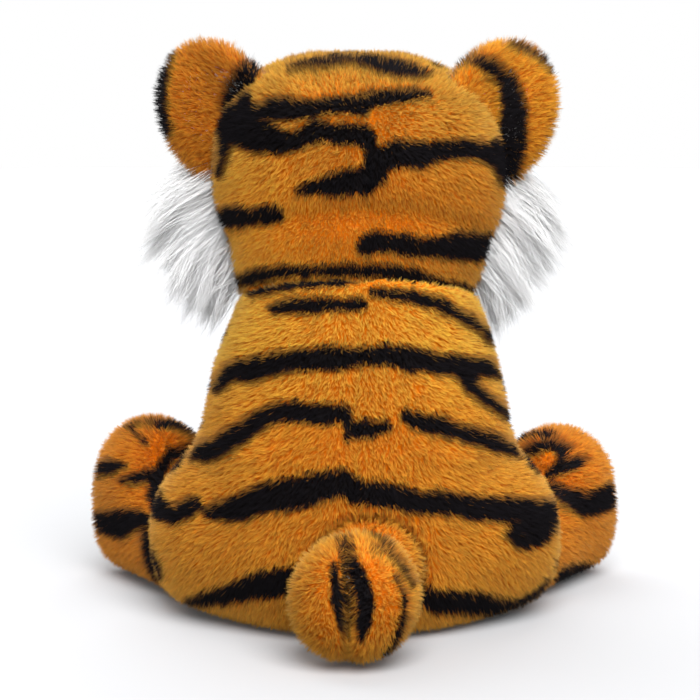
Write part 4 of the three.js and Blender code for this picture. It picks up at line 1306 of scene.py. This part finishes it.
def ruff(side):
    """Hairs with three corners at the root, three halfway and one at the tip."""
    share = rng.random(LOCKS)
    height = 226 - 53 * share
    half_wide = np.interp(height, HEAD[:, 0], HEAD[:, 1])
    forward = 26 - 22 * rng.random(LOCKS) + 7 * (1 - share) ** 2
    across = half_wide * np.sqrt(np.clip(1 - ((forward - 8) / 66) ** 2, 0, 1)) - 4
    root = np.stack([across, -12 - forward + 6, height], 1)
    dip = np.radians(34 + 24 * share ** 0.7 + rng.normal(0, 8, LOCKS))
    heading = unit(np.stack([np.cos(dip), rng.normal(-0.12, 0.16, LOCKS), -np.sin(dip)], 1))
    size = (43 - 19 * share) * (1 + rng.normal(0, 0.17, LOCKS))
    lock = np.repeat(np.arange(LOCKS), HAIRS_PER_LOCK)
    n = len(lock)
    start = root[lock] + rng.normal(0, 1, (n, 3)) * np.array([2.0, 4.2, 4.6])
    own = (size[lock] * (1 + rng.normal(0, 0.14, n)))[:, None]
    droop = np.stack([rng.normal(0, 1.6, LOCKS), rng.normal(0, 1.6, LOCKS), -2.5 - 3 * rng.random(LOCKS)], 1)
    droop = droop[lock]
    stray = np.where(rng.random(n) < 0.15, 4.5, 1.5)[:, None]
    end = root[lock] + heading[lock] * own + droop * 1.6 + stray * rng.normal(0, 1, (n, 3))
    middle = (start + end) / 2 - 0.9 * droop + 0.25 * (start - root[lock]) + np.array([1.2, 0, 0])
    along = unit(end - start)
    one = unit(np.cross(along, np.array([0.0, 1.0, 0.2])))
    two = np.cross(along, one)
    half = 0.115 * (1 + rng.normal(0, 0.2, n))[:, None]
    rings = [place + radius * half * (math.cos(angle) * one + math.sin(angle) * two)
             for place, radius in ((start, 1.0), (middle, 0.85)) for angle in THIRDS]
    corners = np.stack(rings + [end], 1)
    back = np.tanh((start[:, 1:2] + 21) / 5)
    lean = np.array([0.5, 0, 1.4]) + back * np.array([0, 0.9, 0])
    lean = lean + 0.15 * rng.normal(0, 1, (LOCKS, 3))[lock] + 0.15 * rng.normal(0, 1, (n, 3))
    soft = np.stack([ring - place + half * lean for ring, place in zip(rings, [start] * 3 + [middle] * 3)]
                    + [half * lean], 1)
    shade = 0.99 + 0.04 * rng.normal(0, 1, LOCKS)[lock] + 0.06 * rng.normal(0, 1, n)
    shade = shade.clip(0.7, 1.04)[:, None] * RUFF_PAINTED_SHADE[side]
    tint = np.array([0.96, 0.96, 0.96])
    # Painted shade: each hair is a little darker at its root.
    colours = np.stack([tint * shade * k for k in (0.93,) * 3 + (1.0,) * 4], 1)
    mirror = np.array([side, 1, 1])
    return corners * mirror, colours, unit(soft) * mirror


def ruff_piece(name, side):
    corners, colours, soft = ruff(side)
    sides = [[0, 1, 4, 3], [1, 2, 5, 4], [2, 0, 3, 5], [3, 4, 6], [4, 5, 6], [5, 3, 6]]
    mesh = hair_mesh(name, corners, colours, soft, sides, flip=side < 0)
    mesh.materials.append(WHITE_HAIR)
    return placed(name, mesh, "head")


# Pieces

EAR_TURN = {1: math.radians(5), -1: 0.0}  # the photograph's left ear leans out further
EAR_NUDGE = {1: 0.0, -1: -2.5}  # its right ear sits further out
# Painted shade: both ears are darker, the left one more, as if in shade.
EAR_PAINTED_SHADE = {1: (0.64, 0.44, 0.25), -1: (0.80, 0.64, 0.35)}
FOOT_SQUAT = {1: 1.0, -1: 0.935}  # its right foot is a little lower
FILLING_INSET, FILLING_GRID = 1.4, 4.0
EYE_OPENING = 8.4
MOUTH_THREAD, TOE_THREAD = 0.62, 0.7  # radii
MOUTH_RISE, TOE_RISE = 1.5, 2.4  # how far the middle of a thread lies above the skin


def formed(field, low, high, size, side=1, squat=1.0, nudge=0.0):
    """The surface of a left-hand form, for the given side."""
    points, faces = surface(field, low, high, size)
    if side < 0:
        points, faces = mirrored(points), faces[:, ::-1]
    return points * np.array([1, 1, squat]) + np.array([nudge, 0, 0]), faces


def stuffed(name, node, field, low, high, body, side=1, squat=1.0):
    """The filling under a skin, a little inside it."""
    points, faces = formed(lambda p: field(p) + FILLING_INSET, low, high, FILLING_GRID, side, squat)
    piece = shaped(name, points, faces.tolist(), FINISH["stuffing"], body)
    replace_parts(piece, node)


def skinned(name, nodes, wad, field, low, high, size, body, slot, black, white, fill=0.8, side=1,
            squat=1.0, nudge=0.0):
    """The printed cloth under the pile, in place of some CAD nodes, and its filling in place of wad."""
    points, faces = formed(field, low, high, size, side, squat, nudge)
    skin = shaped("skin_" + name, points, faces.tolist(), BACKING, body,
                  skin_colours(points, black, white))
    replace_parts(skin, *nodes)
    if wad:
        stuffed("filling_" + name, wad, field, low, high, body, side, squat)
    return points, faces


def limb(kind, side, name, field, box, size, squat, ink, flow, lines, dye_and_shade, *covers):
    """A leg: its skin, filling, pile and toe stitches."""
    body = f"{kind}_leg_{name}"
    points, faces = skinned(body, [body], f"{kind}_leg_stuffing_{name}", field, *box, size, body,
                            "orange_plush", ink, none, side=side, squat=squat)
    hair = pile(points, faces, flow_on_side(side, flow), ink, none, trim=floor_trim, shade=dye_and_shade,
                keep=clear_of(torso, off_thread(lines(side, squat, 0.0)), *covers))
    fur(body, hair, body)
    thread(f"toe_stitches_{kind}_{name}", lines(side, squat, TOE_RISE), TOE_THREAD, body)


points, faces = skinned("body", ["back_panel_left", "back_panel_right", "belly_panel", "base_panel"],
                        "body_stuffing", torso, (-112, -76, -4), (112, 76, 196), 2.0, "body",
                        "orange_plush", torso_print, torso_white)
body_hair = pile(points, faces, torso_flow, torso_print, torso_white, trim=torso_trim, shade=TORSO_PAINTED_LIGHT,
                 keep=clear_of(lambda p: ball(p, NECK, NECK_RADIUS - 1.0), tail_clear,
                               either_side(lambda p: ball(p, SHOULDER, SHOULDER_RADIUS)),
                               either_side(hind_leg)))
root = body_hair[0][:, :2].mean(1)
belly = torso_white(root) > 0.5
strands("fur_belly", [part[belly] for part in body_hair], WHITE_HAIR, "body")
left, low = root[:, 0] > 0, root[:, 2] < 78
for label, here in (("upper_left", left & ~low), ("lower_left", left & low), ("upper_right", ~left & ~low),
                    ("lower_right", ~left & low)):
    fur("body_" + label, [part[here & ~belly] for part in body_hair], "body")

points, faces = skinned("head", ["head_panel_left", "head_panel_right"], "head_stuffing", head,
                        (-80, -84, 124), (80, 60, 290), 2.0, "head", "orange_plush", head_print,
                        head_white, fill=0.85)
head_hair = pile(points, faces, head_flow, head_print, head_white, trim=head_trim, shade=head_painted_light,
                 keep=clear_of(lambda p: torso_form(p) + 5.5,
                               either_side(lambda p: ear_form(ear_local(p))[0] + 1.0), muzzle,
                               either_side(lambda p: ball(p, EYE, EYE_OPENING))))
root = head_hair[0][:, :2].mean(1)
for label, here in (("left", root[:, 0] > 0), ("right", root[:, 0] <= 0)):
    fur("head_" + label, [part[here] for part in head_hair], "head")

points, faces = skinned("muzzle", ["muzzle"], "muzzle_stuffing", muzzle, (-42, -112, 168), (42, -46, 226),
                        1.6, "head", "white_plush", none, everywhere)
strands("fur_muzzle", pile(points, faces, muzzle_flow, none, everywhere, lift=30,
                           keep=clear_of(head, lambda p: nose(p) - 0.4, off_thread(mouth_lines(0.0)))),
        WHITE_HAIR, "head")
thread("mouth_stitches", mouth_lines(MOUTH_RISE), MOUTH_THREAD, "head")

points, faces = surface(nose, (-12, -114, 199), (12, -99, 217), 0.7)
satin_nose = shaped("satin_nose", points, faces.tolist(), SATIN, "head")
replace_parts(satin_nose, "nose")

for side, name in SIDES:
    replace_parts(safety_eye(f"safety_eye_{name}", side), f"eye_{name}")

for side, name in SIDES:
    for part, field, other, black, white, slot, length in (
            ("back", ear_back, ear_lining, ear_print, none, "orange_plush", 5.8),
            ("lining", ear_lining, ear_back, ear_rim_print, ear_white, "white_plush", 6)):
        ear = f"ear_{part}_{name}"
        points, faces = skinned(ear, [ear], None, lambda p: field(turned_out(p - EAR, EAR_TURN[side]) + EAR),
                                (28, -28, 202), (112, 24, 302), 1.6, "head", slot, black, white, 0.6, side,
                                nudge=EAR_NUDGE[side])
        hair = pile(points, faces, flow_on_side(side, ear_flow), black, white, length=length, lift=50,
                    keep=clear_of(head, either_side(other)), shade=EAR_PAINTED_SHADE[side])
        if part == "back":
            fur(ear, hair, "head")
        else:
            strands("fur_" + ear, hair, WHITE_HAIR, "head")

    squat = FOOT_SQUAT[side]
    limb("hind", side, name, hind_leg, ((40, -132, -4), (150, -10, 96)), 2.0, squat, foot_print, leg_flow,
         foot_lines, HIND_PAINTED_SHADE, on_side(side, lambda p: sole(p / np.array([1, 1, squat]))))

    body = f"hind_leg_{name}"
    points, faces = formed(sole_pad, (94, -134, 8), (148, -96, 80), 1.2, side, squat)
    pad = shaped(f"sole_cloth_{name}", points, faces.tolist(), FINISH["sole_plush"], body)
    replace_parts(pad, f"sole_pad_{name}")
    nap = on_side(side, lambda p, n: leg_local(p / np.array([1, 1, squat]))[..., 2] > 119)
    corners, colours, soft = pile(points, faces, lambda p, n: 0 * p + DOWN, none, everywhere, nap,
                                  density=5.0, length=1.5, lift=60, width=0.3, tuft=1.0, seed=61)
    strands(f"nap_sole_{name}", (corners, colours * SOLE_TINT, soft), WHITE_HAIR, body)

    limb("front", side, name, front_leg, ((4, -124, -4), (82, -18, 142)), 1.8, 1.0, arm_print, arm_flow,
         toe_lines, FRONT_PAINTED_SHADE)

points, faces = skinned("tail", ["tail"], "tail_stuffing", tail, (-42, 18, -4), (44, 128, 74), 1.6, "tail",
                        "orange_plush", tail_print, none)
fur("tail", pile(points, faces, tail_flow, tail_print, none, trim=floor_trim, keep=clear_of(torso),
                 shade=TAIL_PAINTED_SHADE), "tail")

for side, name in SIDES:
    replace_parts(ruff_piece(f"cheek_hair_{name}", side), f"cheek_ruff_{name}")

# The CAD pieces that still show wear the plain materials
for row in frame["record"]["subparts"]:
    node = frame["nodes"][row["node"]]
    if row["material_slot"] in FINISH:
        node.data.materials.clear()
        node.data.materials.append(FINISH[row["material_slot"]])


# Floor, light and camera

bpy.ops.mesh.primitive_circle_add(vertices=96, radius=3.0, fill_type="NGON")
floor = bpy.context.object
floor.name = "floor"
floor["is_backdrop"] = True
paper, tree, principled = shader("paper", 0.9, Base_Color=(0.522, 0.527, 0.540, 1), Specular_IOR_Level=0.0,
                                 Emission_Color=(1, 1, 1, 1))
rays = add(tree, "LightPath")
seen = add(tree, "Math", "MULTIPLY")
seen.inputs[1].default_value = 0.03
tree.links.new(rays.outputs["Is Camera Ray"], seen.inputs[0])
tree.links.new(seen.outputs[0], principled.inputs["Emission Strength"])
floor.data.materials.append(paper)

world = bpy.data.worlds.new("studio")
bpy.context.scene.world = world
world.use_nodes = True
tree = world.node_tree
surround = tree.nodes["Background"]
surround.inputs["Color"].default_value = (1, 1, 1, 1)
# The camera, reflections and clear pieces see pure white; the light itself is softer
rays = add(tree, "LightPath")
bright = rays.outputs["Is Camera Ray"]
for kind in ("Is Glossy Ray", "Is Transmission Ray"):
    either = add(tree, "Math", "MAXIMUM")
    tree.links.new(bright, either.inputs[0])
    tree.links.new(rays.outputs[kind], either.inputs[1])
    bright = either.outputs[0]
strength = add(tree, "MapRange", To_Min=0.52, To_Max=1.0)
tree.links.new(bright, strength.inputs["Value"])
tree.links.new(strength.outputs["Result"], surround.inputs["Strength"])


def sun(name, power, angle, azimuth, elevation):
    data = bpy.data.lights.new(name, "SUN")
    data.energy = power
    data.angle = math.radians(angle)
    lamp = bpy.data.objects.new(name, data)
    a, e = math.radians(azimuth), math.radians(elevation)
    source = Vector((math.sin(a) * math.cos(e), -math.cos(a) * math.cos(e), math.sin(e)))
    lamp.rotation_euler = source.to_track_quat("Z", "Y").to_euler()
    bpy.context.scene.collection.objects.link(lamp)


sun("key_light", 4.1, 45, 193, 50)
sun("fill_light", 2.0, 70, 15, 45)

camera_data = bpy.data.cameras.new("camera")
camera_data.sensor_width = SENSOR_MM
camera_data.lens = SENSOR_MM * FOCAL_PX / IMAGE_PX
camera_data.clip_start = 0.05
camera = bpy.data.objects.new("camera", camera_data)
toward = Vector((0, math.cos(ELEVATION), math.sin(ELEVATION)))
camera.location = TARGET + toward * DISTANCE
camera.rotation_euler = toward.to_track_quat("Z", "Y").to_euler()
bpy.context.scene.collection.objects.link(camera)
bpy.context.scene.camera = camera

bpy.context.scene.view_settings.view_transform = "Standard"

low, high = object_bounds()
